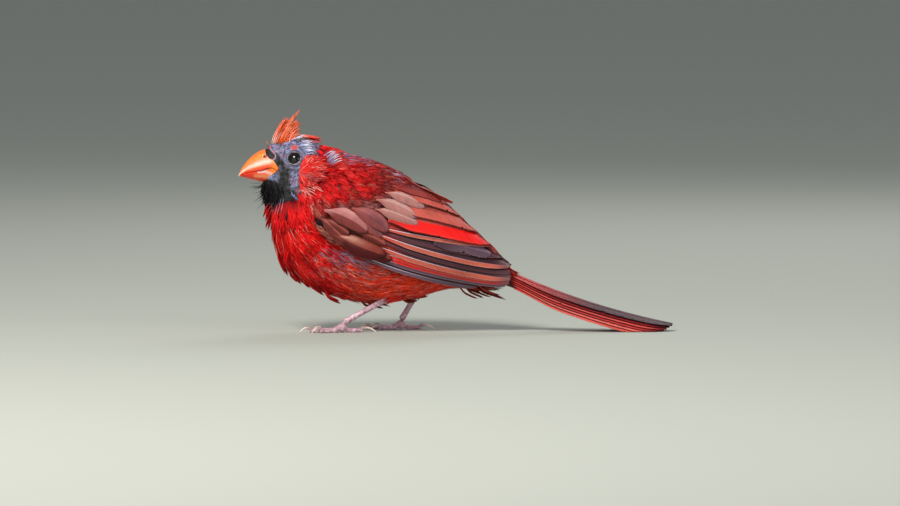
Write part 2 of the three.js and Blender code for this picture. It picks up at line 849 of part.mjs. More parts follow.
function crestSolid() {
  const { x, z, long, wide, high, turn } = CREST_ROOT;
  const centre = new THREE.Vector3(x, 0, z);
  const root = ball(centre, { x: long, y: wide, z: high }, turn, [10, 7]);
  const feathers = [...CREST_FEATHERS.map(crestFeather), ...CROWN_FEATHERS.map(crownFeather)];
  return join([root, ...feathers]).subtract(bodyClear);
}

// Legs and feet

const LEGS = {
  left: { side: LEFT, hip: [13, -8.5, 19], foot: [-14, -10.5, 4.2], turn: 0.06 },
  right: { side: RIGHT, hip: [24, 8.5, 22], foot: [13.5, 10.5, 4.2], turn: -0.04 },
};
const SHANK = { radius: [1.9, 1.45, 1.25, 1.6], scutes: 7, step: 0.12, sides: 8 };
const PALM = { z: 2.2, long: 2.3, wide: 2.0, high: 2.5 };
// Toes as turn from straight ahead, length and claw length
const TOES = [
  { name: "hind", turn: Math.PI, length: 9.5, claw: 7.0, joints: 2 },
  { name: "inner", turn: 0.42, length: 11.0, claw: 4.6, joints: 3 },
  { name: "middle", turn: 0, length: 15.0, claw: 5.2, joints: 4 },
  { name: "outer", turn: -0.4, length: 11.5, claw: 4.6, joints: 3 },
];
// A toe swells at its pads, narrows between them and to its end, and falls from the palm
const TOE = { radius: 1.15, root: 1.5, pad: 1.12, waist: 0.9, thin: [1.05, 0.82], fall: 2.6 };
const TOE_AXIS_HEIGHT = 0.95;
const TOE_ROOT_HEIGHT = 3.0;
const CLAW = { back: 0.4, z: 1.25, arch: 1.15, down: 1.45, radius: [0.95, 0.28] };

function shank(leg, grow = 0) {
  const hip = new THREE.Vector3(...leg.hip);
  const foot = new THREE.Vector3(...leg.foot);
  const points = [0, 0.35, 0.7, 1].map((t) => hip.clone().lerp(foot, t));
  const radii = [];
  const bands = SHANK.scutes * 2;
  for (let i = 0; i <= bands; i++) {
    const t = (i / bands) * (SHANK.radius.length - 1);
    const k = Math.min(Math.floor(t), SHANK.radius.length - 2);
    const plain = lerp(SHANK.radius[k], SHANK.radius[k + 1], t - k);
    radii.push(plain + grow + (i % 2 ? SHANK.step : -SHANK.step));
  }
  return limb(points, radii, SHANK.sides, 5);
}

function toeDirection(leg, toe) {
  const heading = leg.turn + leg.side * toe.turn;
  return new THREE.Vector3(-Math.cos(heading), -Math.sin(heading), 0);
}

// A point along the toe's line, as a share of its length
function toePoint(leg, toe, share) {
  const [x, y] = leg.foot;
  const raised = Math.max(1 - share * TOE.fall, 0) ** 1.5;
  const z = lerp(TOE_AXIS_HEIGHT, TOE_ROOT_HEIGHT, raised);
  return new THREE.Vector3(x, y, z).addScaledVector(
    toeDirection(leg, toe),
    toe.length * share,
  );
}

function toeSolid(leg, toe) {
  const points = [toePoint(leg, toe, 0)];
  const radii = [TOE.root];
  const rings = toe.joints * 2;
  for (let j = 1; j <= rings; j++) {
    const share = j / rings;
    points.push(toePoint(leg, toe, share));
    radii.push(TOE.radius * (j % 2 ? TOE.waist : TOE.pad) * lerp(...TOE.thin, share));
  }
  return limb(points, radii, 6, 1);
}

function footSolid(leg) {
  const [x, y] = leg.foot;
  const { z, long, wide, high } = PALM;
  const palm = ball(new THREE.Vector3(x, y, z), { x: long, y: wide, z: high }, 0, [8, 6]);
  return join([palm, ...TOES.map((toe) => toeSolid(leg, toe))])
    .subtract(shank(leg, GAP))
    .intersect(aboveFloor);
}

// A claw arches forward from the toe's end and comes down to the ground
function clawSolid(leg, toe, grow = 0) {
  const ahead = toeDirection(leg, toe);
  const base = toePoint(leg, toe, 1);
  const points = [];
  const radii = [];
  const steps = 5;
  for (let i = 0; i <= steps; i++) {
    const u = i / steps;
    const p = base.clone().addScaledVector(ahead, toe.claw * u - CLAW.back);
    const arch = Math.sin(Math.PI * Math.min(u * 0.8 + 0.1, 1));
    p.z = CLAW.z + CLAW.arch * arch - CLAW.down * u ** 2.2;
    points.push(p);
    radii.push(lerp(...CLAW.radius, u ** 0.8) + grow);
  }
  return limb(points, radii, 6, 1);
}

function partsOfLeg(name, leg) {
  const meshes = [];
  const foot = footSolid(leg);
  meshes.push(meshOf(`leg_${name}`, shank(leg).subtract(bodyClear), LEG_PINK));
  const clear = join(TOES.map((toe) => clawSolid(leg, toe, GAP)));
  meshes.push(meshOf(`foot_${name}`, foot.subtract(clear), LEG_PINK));
  for (const toe of TOES)
    meshes.push(
      meshOf(
        `claw_${toe.name}_${name}`,
        clawSolid(leg, toe).intersect(aboveFloor),
        CLAW_HORN,
      ),
    );
  return meshes;
}

const bird = new THREE.Group();
bird.add(
  meshOf("head", headSolid(), SKIN),
  meshOf("neck", neckSolid(), RED),
  meshOf("torso", torsoSolid(), RED),
  meshOf("rump", rumpSolid(), RED),
  meshOf("bill_upper", billUpper(), BILL_ORANGE),
  meshOf("bill_lower", billLower(), BILL_ORANGE),
  meshOf("eye_left", eyeBall(LEFT), BLACK),
  meshOf("eye_right", eyeBall(RIGHT), BLACK),
  meshOf("crest", crestSolid(), CREST_RED),
  meshOf("wing_left", wingSolid(LEFT), WING_RED),
  meshOf("wing_right", wingSolid(RIGHT), WING_RED),
  meshOf("tail", tailSolid(), DEEP_RED),
  ...partsOfLeg("left", LEGS.left),
  ...partsOfLeg("right", LEGS.right),
);

// The frame's origin is on the ground, below the middle of the whole bird
const extent = new THREE.Box3().setFromObject(bird);
const middle = extent.getCenter(new THREE.Vector3());
bird.position.set(-middle.x, -middle.y, -extent.min.z);

export default bird;
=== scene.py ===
# A male northern cardinal in moult, as a still, life-size model.
# Lengths are in the bird's own millimetres, as in the CAD source: +Z up, the bird faces -X,
# and its left side is towards -Y. to_frame() turns them into the frame's metres.
import math

import bpy
import numpy as np
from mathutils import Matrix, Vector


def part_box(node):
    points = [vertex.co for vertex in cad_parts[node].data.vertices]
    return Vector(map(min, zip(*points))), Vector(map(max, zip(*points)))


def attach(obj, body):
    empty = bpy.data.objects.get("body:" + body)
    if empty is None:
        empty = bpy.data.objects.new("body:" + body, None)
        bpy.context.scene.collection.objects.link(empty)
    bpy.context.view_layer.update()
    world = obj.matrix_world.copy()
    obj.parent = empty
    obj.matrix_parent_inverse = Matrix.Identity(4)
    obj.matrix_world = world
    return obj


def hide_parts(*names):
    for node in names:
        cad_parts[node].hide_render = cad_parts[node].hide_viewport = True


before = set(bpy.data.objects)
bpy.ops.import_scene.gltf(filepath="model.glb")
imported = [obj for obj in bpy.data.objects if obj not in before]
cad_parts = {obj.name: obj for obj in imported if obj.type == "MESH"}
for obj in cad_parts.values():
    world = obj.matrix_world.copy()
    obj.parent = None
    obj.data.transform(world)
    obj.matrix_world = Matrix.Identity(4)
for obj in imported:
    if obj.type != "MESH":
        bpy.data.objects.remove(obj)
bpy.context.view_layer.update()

MM = 0.001
BILL_TIP_X = -62.7
SHIFT_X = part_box("bill_lower")[0].x / MM - BILL_TIP_X
SHIFT_Y = (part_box("eye_left")[0].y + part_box("eye_right")[1].y) / 2 / MM
LEFT, RIGHT = -1, 1
SIDE_NAMES = {LEFT: "left", RIGHT: "right"}
# How wide a tuft's patch is on its piece's map
PATCH = 0.003
TAU = 2 * math.pi


def to_frame(points):
    return (np.asarray(points, float) + np.array([SHIFT_X, SHIFT_Y, 0])) * MM


# Numbers and vectors


def lerp(a, b, u):
    return a + (b - a) * u


def smooth(x):
    x = np.clip(x, 0, 1)
    return x * x * (3 - 2 * x)


def unit(v):
    return v / np.maximum(np.linalg.norm(v, axis=-1, keepdims=True), 1e-9)


def arc(bow, u):
    return bow * 4 * u * (1 - u)


def rgb(text):
    """A colour written as six hexadecimal digits, in linear light."""
    c = np.array([int(text[i : i + 2], 16) for i in (0, 2, 4)]) / 255
    return np.where(c <= 0.04045, c / 12.92, ((c + 0.055) / 1.055) ** 2.4)


def mix(a, b, share):
    share = np.asarray(share, float)[..., None]
    return a * (1 - share) + b * share


def layered(colour, layers):
    """Lays colours over one another, each given with its share at each point."""
    for over, share in layers:
        colour = mix(colour, over, share)
    return colour


def catmull(points, t):
    """Places on a smooth line through points, at shares t of the way along it."""
    p = np.asarray(points, float)
    last = len(p) - 1
    p = np.vstack([2 * p[0] - p[1], p, 2 * p[-1] - p[-2]])
    s = np.clip(np.asarray(t, float), 0, 1) * last
    i = np.minimum(s.astype(int), last - 1)
    f = (s - i)[..., None]
    a, b, c, d = (p[i + k] for k in range(4))
    return 0.5 * (
        2 * b + (c - a) * f + (2 * a - 5 * b + 4 * c - d) * f**2 + (3 * b - a - 3 * c + d) * f**3
    )


def lattice(cells, seed):
    """A steady value from 0 to 1 for each whole-numbered cell."""
    c = cells.astype(np.int64)
    h = c[..., 0] * 73856093 ^ c[..., 1] * 19349663 ^ c[..., 2] * 83492791 ^ (seed * 7919 + 17)
    h = (h ^ (h >> 13)) * 1274126177
    return ((h ^ (h >> 16)) & 0xFFFF) / 65535


def noise(points, size, seed=0):
    """Smooth noise from 0 to 1, with patches of about this size."""
    p = np.asarray(points, float) / size
    cell = np.floor(p)
    f = smooth(p - cell)
    total = 0
    for corner in np.ndindex(2, 2, 2):
        weight = np.prod(np.where(np.array(corner) == 1, f, 1 - f), axis=-1)
        total = total + weight * lattice(cell + np.array(corner), seed)
    return total


def straight(root, tip):
    """The length of a line in the side view, and at(u, off): points along it and off it."""
    root, tip = np.array(root, float), np.array(tip, float)
    length = np.linalg.norm(tip - root)
    ahead = (tip - root) / length

    def at(u, off):
        x = root[0] + ahead[0] * u * length - ahead[1] * off
        z = root[1] + ahead[1] * u * length + ahead[0] * off
        return x, z

    return length, at


def near_line(x, z, points, radius, soft):
    """1 within radius of a line through points of the side view, falling to 0 over soft."""
    best = np.full(np.shape(x), 1e9)
    for (x0, z0), (x1, z1) in zip(points, points[1:]):
        dx, dz = x1 - x0, z1 - z0
        s = np.clip(((x - x0) * dx + (z - z0) * dz) / (dx * dx + dz * dz), 0, 1)
        best = np.minimum(best, np.hypot(x - x0 - s * dx, z - z0 - s * dz))
    return smooth((radius + soft - best) / soft)


def inside(x, z, outline):
    """True for points of the side view within an outline."""
    found = np.zeros(np.shape(x), bool)
    for (x0, z0), (x1, z1) in zip(outline, outline[1:] + outline[:1]):
        crosses = (z0 > z) != (z1 > z)
        at = x0 + (z - z0) * (x1 - x0) / ((z1 - z0) or 1e-9)
        found ^= crosses & (x < at)
    return found


# A form given by sections in the middle plane


class Form:
    power = 2.2

    def __init__(self, sections):
        self.table = np.array([(*back, *belly, half) for back, belly, half in sections], float)

    def section(self, t, grow=0.0):
        row = catmull(self.table, t)
        back, belly = row[..., 0:2], row[..., 2:4]
        grow = np.broadcast_to(grow, row.shape[:-1])
        out = unit(back - belly) * grow[..., None]
        back, belly = back + out, belly - out
        return back, belly, (back + belly) / 2, row[..., 4] + grow

    def point(self, t, angle, grow=0.0):
        t, angle, grow = np.broadcast_arrays(t, angle, grow)
        back, _, middle, half = self.section(t, grow)
        up, out = np.cos(angle), np.sin(angle)
        up = np.sign(up) * np.abs(up) ** (2 / self.power)
        out = np.sign(out) * np.abs(out) ** (2 / self.power)
        flat = middle + (back - middle) * up[..., None]
        return np.stack([flat[..., 0], half * out, flat[..., 1]], -1)

    def lay(self, t, angle, grow=0.0):
        """The point, its outward normal, the steps of the surface along t and around it."""
        step, turn = 0.004, 0.03
        p = self.point(t, angle, grow)
        along = (self.point(t + step, angle, grow) - self.point(t - step, angle, grow)) / (2 * step)
        round_ = self.point(t, angle + turn, grow) - self.point(t, angle - turn, grow)
        round_ = round_ / (2 * turn)
        normal = unit(np.cross(along, round_))
        return p, normal, along, round_

    def share(self, x, z):
        """The section that passes through a point of the side view, found by halving."""

        def side(t):
            back, belly, _, _ = self.section(t)
            return (belly[..., 0] - back[..., 0]) * (z - back[..., 1]) - (
                belly[..., 1] - back[..., 1]
            ) * (x - back[..., 0])

        low = np.zeros(np.shape(x))
        high = np.ones(np.shape(x))
        start = np.sign(side(low))
        for _ in range(22):
            mid = (low + high) / 2
            ahead = np.sign(side(mid)) == start
            low, high = np.where(ahead, mid, low), np.where(ahead, high, mid)
        return low

    def half_at(self, x, z):
        back, _, middle, half = self.section(self.share(x, z))
        reach = np.linalg.norm(back - middle, axis=-1)
        away = np.hypot(x - middle[..., 0], z - middle[..., 1]) / reach
        return half * np.maximum(1 - np.minimum(away, 1) ** self.power, 0) ** (1 / self.power)

    def side_point(self, x, z, h, side):
        """A point h above the surface, at x and z of the side view."""
        x, z = np.asarray(x, float), np.asarray(z, float)
        step = 0.5
        over = self.half_at(x + step, z) - self.half_at(x - step, z)
        up = self.half_at(x, z + step) - self.half_at(x, z - step)
        slope_x = np.clip(over / (2 * step), -2.5, 2.5)
        slope_z = np.clip(up / (2 * step), -2.5, 2.5)
        normal = unit(np.stack([-slope_x, np.ones_like(x), -slope_z], -1))
        p = np.stack([x, self.half_at(x, z), z], -1) + normal * np.asarray(h)[..., None]
        p[..., 1] *= side
        return p

    def place_on_map(self, p):
        """The section share and the share of a turn nearest to points, for the unwrap."""
        t = self.share(p[:, 0], p[:, 2])
        back, _, middle, half = self.section(t)
        reach = back - middle
        up = ((p[:, [0, 2]] - middle) * reach).sum(-1) / (reach**2).sum(-1)
        return np.stack([t, np.arctan2(p[:, 1] / half, up) / TAU % 1], -1)


BODY_SECTIONS = [
    ((-50.4, 85.0), (-51.2, 69.0), 2.0),
    ((-46.8, 88.2), (-50.2, 65.4), 4.7),
    ((-40.0, 89.6), (-49.2, 62.3), 7.0),
    ((-31.5, 90.0), (-48.0, 59.0), 9.7),
    ((-24.5, 88.6), (-47.4, 54.5), 11.0),
    ((-18.5, 85.6), (-47.0, 49.5), 13.0),
    ((-10.0, 83.0), (-46.0, 42.0), 16.6),
    ((1.0, 79.8), (-41.0, 32.0), 19.8),
    ((14.0, 73.8), (-29.0, 21.5), 21.4),
    ((26.5, 64.0), (-13.0, 15.6), 20.8),
    ((38.0, 53.0), (4.0, 13.4), 18.2),
    ((48.0, 43.5), (21.0, 16.0), 14.0),
    ((57.0, 35.5), (38.0, 20.4), 9.4),
    ((66.0, 28.6), (56.0, 18.6), 5.6),
    ((73.0, 25.0), (68.0, 18.4), 4.2),
]
# The share of the body at which the skin and coat end, over the root of the tail
BODY_END = 12.9 / 14
BILL_SECTIONS = [
    ((-62.6, 73.5), (-62.7, 72.9), 0.35),
    ((-60.9, 77.0), (-60.6, 72.4), 1.9),
    ((-57.6, 81.1), (-57.0, 71.5), 3.5),
    ((-53.4, 84.4), (-52.0, 70.3), 5.1),
    ((-48.8, 86.0), (-46.8, 69.5), 6.4),
    ((-45.6, 85.6), (-42.6, 69.1), 7.1),
    ((-42.8, 84.0), (-40.0, 71.2), 6.4),
]
WING_LIFT = 1.8
WING_LEAST_HALF = 8.6
body = Form(BODY_SECTIONS)
bill = Form(BILL_SECTIONS)
# The folded wings lie on a second form, a little outside the body
shell = Form(
    [
        ((back[0] + 0.8, back[1] + 1.4), (belly[0], belly[1] - 1.0),
         max(half + WING_LIFT, WING_LEAST_HALF))
        for back, belly, half in BODY_SECTIONS
    ]
)


# Meshes


def corners(bake, faces, period):
    """The map's place of each face's corners; a face that closes a ring runs past its start."""
    period = np.array(period, float)
    made = []
    for f in faces:
        uv = bake[f]
        made.append(uv + period * (uv.max(1, keepdims=True) - uv > period / 2 + 1e-6))
    return made


def ring_map(rows, columns, low=0.0, high=1.0):
    """The map of a loft: along it, and round it from low to high, then its two ends."""
    u, v = np.meshgrid(
        np.linspace(0.002, 0.998, rows), lerp(low, high, np.arange(columns) / columns),
        indexing="ij",
    )
    middle = (low + high) / 2
    return np.concatenate([np.stack([u, v], -1).reshape(-1, 2), [[0, middle], [1, middle]]])


def piece(name, points, faces, material, colours, bake, replaces=(), lies=None):
    """One mesh of the bird, in its own millimetres, that rides on the frame."""
    mesh = bpy.data.meshes.new(name)
    loops = np.concatenate([f.ravel() for f in faces]).astype(np.int32)
    sizes = np.concatenate([np.full(len(f), f.shape[1]) for f in faces]).astype(np.int32)
    starts = np.concatenate([[0], np.cumsum(sizes)[:-1]]).astype(np.int32)
    mesh.vertices.add(len(points))
    mesh.vertices.foreach_set("co", to_frame(points).astype(np.float32).ravel())
    mesh.loops.add(len(loops))
    mesh.loops.foreach_set("vertex_index", loops)
    mesh.polygons.add(len(sizes))
    mesh.polygons.foreach_set("loop_start", starts)
    mesh.polygons.foreach_set("loop_total", sizes)
    mesh.polygons.foreach_set("use_smooth", np.ones(len(sizes), bool))
    mesh.update(calc_edges=True)
    layer = mesh.color_attributes.new("Colour", "FLOAT_COLOR", "POINT")
    full = np.ones((len(points), 4), np.float32)
    full[:, :3] = colours
    layer.data.foreach_set("color", full.ravel())
    layer = mesh.uv_layers.new(name="OFBake")
    places = np.concatenate([uv.reshape(-1, 2) for uv in bake])
    layer.data.foreach_set("uv", places.astype(np.float32).ravel())
    if lies is not None:
        layer = mesh.attributes.new("Lie", "FLOAT_VECTOR", "POINT")
        layer.data.foreach_set("vector", np.asarray(lies, np.float32).ravel())
    mesh.materials.append(material)
    obj = bpy.data.objects.new(name, mesh)
    bpy.context.scene.collection.objects.link(obj)
    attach(obj, "root")
    if replaces:
        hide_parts(*replaces)


class Heap:
    """Meshes gathered to become one piece."""

    def __init__(self):
        self.points, self.faces, self.colours, self.bake, self.lies = [], [], [], [], []
        self.count = 0

    def add(self, points, faces, colours, bake, lie=None, period=(0, 0)):
        points = points.reshape(-1, 3)
        self.lies.append(points if lie is None else lie)
        self.points.append(points)
        self.faces.extend(f + self.count for f in faces)
        self.colours.append(np.broadcast_to(colours, points.shape))
        self.bake.extend(corners(bake.reshape(-1, 2), faces, period))
        self.count += len(points)

    def piece(self, name, material, slot, replaces=()):
        sizes = [n for n in (3, 4) if any(f.shape[1] == n for f in self.faces)]
        faces = [np.concatenate([f for f in self.faces if f.shape[1] == n]) for n in sizes]
        bake = [np.concatenate([uv for uv in self.bake if uv.shape[1] == n]) for n in sizes]
        piece(
            name, np.concatenate(self.points), faces, material,
            np.concatenate(self.colours), bake, replaces, np.concatenate(self.lies),
        )


def grid_faces(rows, columns, closed=False):
    """Quads between rows of points, closed round each row or open."""
    i, j = np.meshgrid(np.arange(rows - 1), np.arange(columns - (not closed)), indexing="ij")
    a = i * columns + j
    b = i * columns + (j + 1) % columns
    return np.stack([a, b, b + columns, a + columns], -1).reshape(-1, 4)


def loft(rings):
    """A closed body through rings, each an array of points in a circle."""
    rows, columns, _ = rings.shape
    quads = grid_faces(rows, columns, closed=True)
    ends = np.stack([rings[0].mean(0), rings[-1].mean(0)])
    points = np.concatenate([rings.reshape(-1, 3), ends])
    j = np.arange(columns)
    k = (j + 1) % columns
    first = rows * columns
    tail = (rows - 1) * columns
    near = np.stack([np.full(columns, first), k, j], -1)
    far = np.stack([np.full(columns, first + 1), tail + j, tail + k], -1)
    return points, [quads, np.concatenate([near, far])]


def plate(place, us, vs, thick):
    """A thin closed plate: place(u, v, h) gives points, u from root to tip, v from edge to edge."""
    u, v = np.meshgrid(us, vs, indexing="ij")
    top = place(u, v, thick / 2)
    bottom = place(u, v, -thick / 2)
    rows, columns = u.shape
    upper = grid_faces(rows, columns)
    lower = grid_faces(rows, columns)[:, ::-1] + rows * columns
    rim = np.concatenate(
        [
            np.arange(columns),
            np.arange(1, rows) * columns + columns - 1,
            (rows - 1) * columns + np.arange(columns - 2, -1, -1),
            np.arange(rows - 2, 0, -1) * columns,
        ]
    )
    after = np.roll(rim, -1)
    sides = np.stack([after, rim, rim + rows * columns, after + rows * columns], -1)
    points = np.concatenate([top.reshape(-1, 3), bottom.reshape(-1, 3)])
    return points, [np.concatenate([upper, lower, sides])], u, v


def mound(centre, radii, rows, columns):
    """Rings of an upright oval body."""
    lat = np.linspace(0, math.pi, rows)[1:-1, None]
    lon = np.arange(columns)[None] / columns * TAU
    x = centre[0] + radii[0] * np.sin(lat) * np.cos(lon)
    y = centre[1] + radii[1] * np.sin(lat) * np.sin(lon)
    z = centre[2] + radii[2] * np.cos(lat) + 0 * lon
    return np.stack([x, y, z], -1)


def blades(lines, normals, widths, ridge):
    """Closed three-sided blades along lines of points, each ending in a point at its tip.

    Also gives each point's share of the way along its blade, and its side, from -1 to 1."""
    count, rings, _ = lines.shape
    ahead = unit(np.gradient(lines, axis=1))
    across = unit(np.cross(ahead, normals))
    up = unit(np.cross(across, ahead))
    half = widths[..., None] / 2
    low = lines - up * ridge * widths[..., None] * 0.5
    ring = np.stack([low + across * half, low - across * half, lines + up * ridge * half * 2], 2)
    bodies = ring[:, :-1].reshape(count, -1, 3)
    points = np.concatenate([bodies, lines[:, -1:]], 1)
    each = points.shape[1]
    corner = np.arange(3)
    after = (corner + 1) % 3
    quads = [
        np.stack([3 * r + corner, 3 * r + after, 3 * r + 3 + after, 3 * r + 3 + corner], -1)
        for r in range(rings - 2)
    ]
    last = 3 * (rings - 2)
    tips = np.stack([last + corner, last + after, np.full(3, each - 1)], -1)
    caps = np.array([[2, 1, 0]])
    first = (np.arange(count) * each)[:, None, None]
    quads = (np.concatenate(quads)[None] + first).reshape(-1, 4)
    tris = (np.concatenate([tips, caps])[None] + first).reshape(-1, 3)
    along = np.append(np.repeat(np.linspace(0, 1, rings)[:-1], 3), 1.0)
    sideways = np.append(np.tile([-1.0, 1.0, 0.0], rings - 1), 0.0)
    return points, [quads, tris], along, sideways


# Materials


def new_material(name):
    m = bpy.data.materials.new(name)
    m.use_nodes = True
    nodes = m.node_tree.nodes
    return m, nodes, m.node_tree.links, nodes["Principled BSDF"]


def object_noise(nodes, links, scale, detail=3.0, stretch=(1, 1, 1)):
    where = nodes.new("ShaderNodeTexCoord")
    turn = nodes.new("ShaderNodeMapping")
    turn.inputs["Scale"].default_value = stretch
    made = nodes.new("ShaderNodeTexNoise")
    made.inputs["Scale"].default_value = scale
    made.inputs["Detail"].default_value = detail
    links.new(where.outputs["Object"], turn.inputs["Vector"])
    links.new(turn.outputs["Vector"], made.inputs["Vector"])
    return made.outputs["Fac"]


def map_range(nodes, links, value, to_low, to_high):
    """Spreads the middle of a noise over a range."""
    made = nodes.new("ShaderNodeMapRange")
    made.inputs["From Min"].default_value = 0.3
    made.inputs["From Max"].default_value = 0.7
    made.inputs["To Min"].default_value = to_low
    made.inputs["To Max"].default_value = to_high
    links.new(value, made.inputs["Value"])
    return made.outputs["Result"]


def shaded(nodes, links, shader, grain, contrast):
    """The mesh's own colour, made lighter and darker by a grain."""
    colour = nodes.new("ShaderNodeAttribute")
    colour.attribute_name = "Colour"
    scaled = nodes.new("ShaderNodeVectorMath")
    scaled.operation = "SCALE"
    links.new(colour.outputs["Color"], scaled.inputs[0])
    value = map_range(nodes, links, grain, 1 - contrast, 1 + contrast)
    links.new(value, scaled.inputs["Scale"])
    links.new(scaled.outputs["Vector"], shader.inputs["Base Color"])


def bumped(nodes, links, shader, height, strength, distance):
    made = nodes.new("ShaderNodeBump")
    made.inputs["Strength"].default_value = strength
    made.inputs["Distance"].default_value = distance
    links.new(height, made.inputs["Height"])
    links.new(made.outputs["Normal"], shader.inputs["Normal"])


def painted(name, roughness, grain, contrast, bump=0.0, bump_scale=3000.0, stretch=(1, 1, 1),
            specular=0.5, coat=0.0, subsurface=0.0):
    """A finish whose colour is the mesh's own, with a fine grain of light and dark and a bump."""
    m, nodes, links, shader = new_material(name)
    shaded(nodes, links, shader, object_noise(nodes, links, grain, 4.0, stretch), contrast)
    rough = object_noise(nodes, links, grain * 0.7, 2.0)
    rough = map_range(nodes, links, rough, roughness - 0.08, roughness + 0.08)
    links.new(rough, shader.inputs["Roughness"])
    shader.inputs["Specular IOR Level"].default_value = specular
    shader.inputs["Coat Weight"].default_value = coat
    shader.inputs["Subsurface Weight"].default_value = subsurface
    shader.inputs["Subsurface Scale"].default_value = 0.001
    if bump:
        height = object_noise(nodes, links, bump_scale, 3.0, stretch)
        bumped(nodes, links, shader, height, bump, 0.0002)
    return m


def barbed(name, roughness, contrast):
    """A vane: fine barbs run from the shaft towards the edge, and break up in places."""
    m, nodes, links, shader = new_material(name)
    lie = nodes.new("ShaderNodeAttribute")
    lie.attribute_name = "Lie"
    stretch = nodes.new("ShaderNodeMapping")
    stretch.inputs["Scale"].default_value = (3.2, 0.25, 1)
    links.new(lie.outputs["Vector"], stretch.inputs["Vector"])
    barbs = nodes.new("ShaderNodeTexNoise")
    barbs.inputs["Scale"].default_value = 1.0
    barbs.inputs["Detail"].default_value = 3.0
    links.new(stretch.outputs["Vector"], barbs.inputs["Vector"])
    fac = barbs.outputs["Fac"]
    shaded(nodes, links, shader, fac, contrast)
    rough = map_range(nodes, links, fac, roughness + 0.1, roughness - 0.1)
    links.new(rough, shader.inputs["Roughness"])
    shader.inputs["Specular IOR Level"].default_value = 0.2
    bumped(nodes, links, shader, fac, 0.7, 0.0001)
    return m


plumage = painted("plumage", 0.6, 350.0, 0.1, specular=0.22)
vane_finish = barbed("vanes", 0.45, 0.16)
skin_finish = painted("skin", 0.6, 1300.0, 0.35, bump=1.0, bump_scale=2000.0, subsurface=0.1)
bill_finish = painted(
    "bill_horn", 0.3, 500.0, 0.08, bump=0.25, bump_scale=900.0, stretch=(0.3, 1, 1.6),
    coat=0.12, subsurface=0.12,
)
leg_finish = painted("leg_scales", 0.45, 1500.0, 0.18, bump=0.5, bump_scale=2500.0, subsurface=0.1)
claw_finish = painted("claw_horn", 0.3, 700.0, 0.1, bump=0.15, bump_scale=1500.0, coat=0.2)
eye_finish = painted("eye", 0.08, 400.0, 0.05, specular=0.5)

# Colours

RED = rgb("e4060d")
BRIGHT_RED = rgb("fc1012")
DEEP_RED = rgb("8e060e")
ORANGE_RED = rgb("fc4a22")
ROSE = rgb("ee9c92")
MANTLE = rgb("a02628")
FEATHER_BASE = rgb("94646e")
BLACK = rgb("09080a")
SLATE = rgb("535877")
PALE_SLATE = rgb("979cc4")
DARK_SLATE = rgb("23212c")
QUILL = rgb("d9d8ee")
QUILL_BLUE = rgb("8d93bd")

# Where things are on the head, as [x, z] in the side view
EYE = {"x": -36.3, "z": 81.7, "radius": 4.2, "proud": 1.2}
THROAT_PATCH = [(-49.5, 67.0), (-43.5, 65.2), (-38.2, 62.4)]
LORES = [(-45.4, 81.6), (-43.0, 78.4), (-40.8, 75.8), (-41.2, 70.5)]
GAPE_BLACK = [(-41.2, 74.5), (-40.6, 70.0)]
CHIN_EDGE = [(-39.6, 68.4), (-37.2, 63.6)]
NOSTRIL_PATCH = [(-49.0, 84.6), (-47.0, 82.6)]
NOSTRIL = (-50.1, 82.3)
CHEEK_PATCH = [(-38.2, 73.0), (-36.2, 67.2)]
EYE_SPOT = [(-37.0, 86.6), (-35.6, 86.8)]
FOREHEAD_SPOT = [(-48.6, 86.6), (-48.3, 86.7)]
# The rear edge of the bare head: x against z
BARE_EDGE = ([57, 60, 63, 66, 70, 74, 77, 80, 83, 85.5, 88, 93],
             [-60, -46, -35.5, -34.4, -34.6, -34.8, -32.6, -29.9, -27.2, -26.4, -25.4, -25])
# The edge of the horn of the bill: x against z
HORN_EDGE = ([60, 69.2, 71, 74.2, 76, 77.8, 79, 80.5, 81.6, 83, 86, 92],
             [-42.6, -42.6, -42.0, -42.2, -43.2, -44.5, -45.3, -46.4, -48.6, -50.0, -50.6, -51])


def feathered(p):
    """How far a point of the head and body is inside the feathered skin, in millimetres."""
    edge = np.interp(p[..., 2], *BARE_EDGE)
    return p[..., 0] - edge


def throat_mask(p):
    return near_line(p[..., 0], p[..., 2], THROAT_PATCH, 4.2, 1.2)


def eye_frame(side):
    x, z = EYE["x"], EYE["z"]
    surface = body.side_point(x, z, 0, side)
    axis = unit(body.side_point(x, z, 1, side) - surface)
    return surface, axis, surface + axis * (EYE["proud"] - EYE["radius"])


# Skin: one surface from the face to the root of the tail, under the coat and bare on the head

SKIN_DEPTH = 1.7
BARE_DEPTH = 0.15
# The skin's rows lie closer together on the head, up to this share of the body
HEAD_END = 0.40
HEAD_ROWS = 250
BODY_ROWS = 46
SKIN_COLUMNS = 220
# How far from the middle of the eye its rim, socket, ridge, groove and fold lie
LID = {"rim": 3.28, "socket": 3.3, "ridge": 3.7, "groove": 4.8, "fold": 5.6}


def ring_of(away, radius, width):
    return np.exp(-(((away - radius) / width) ** 2))


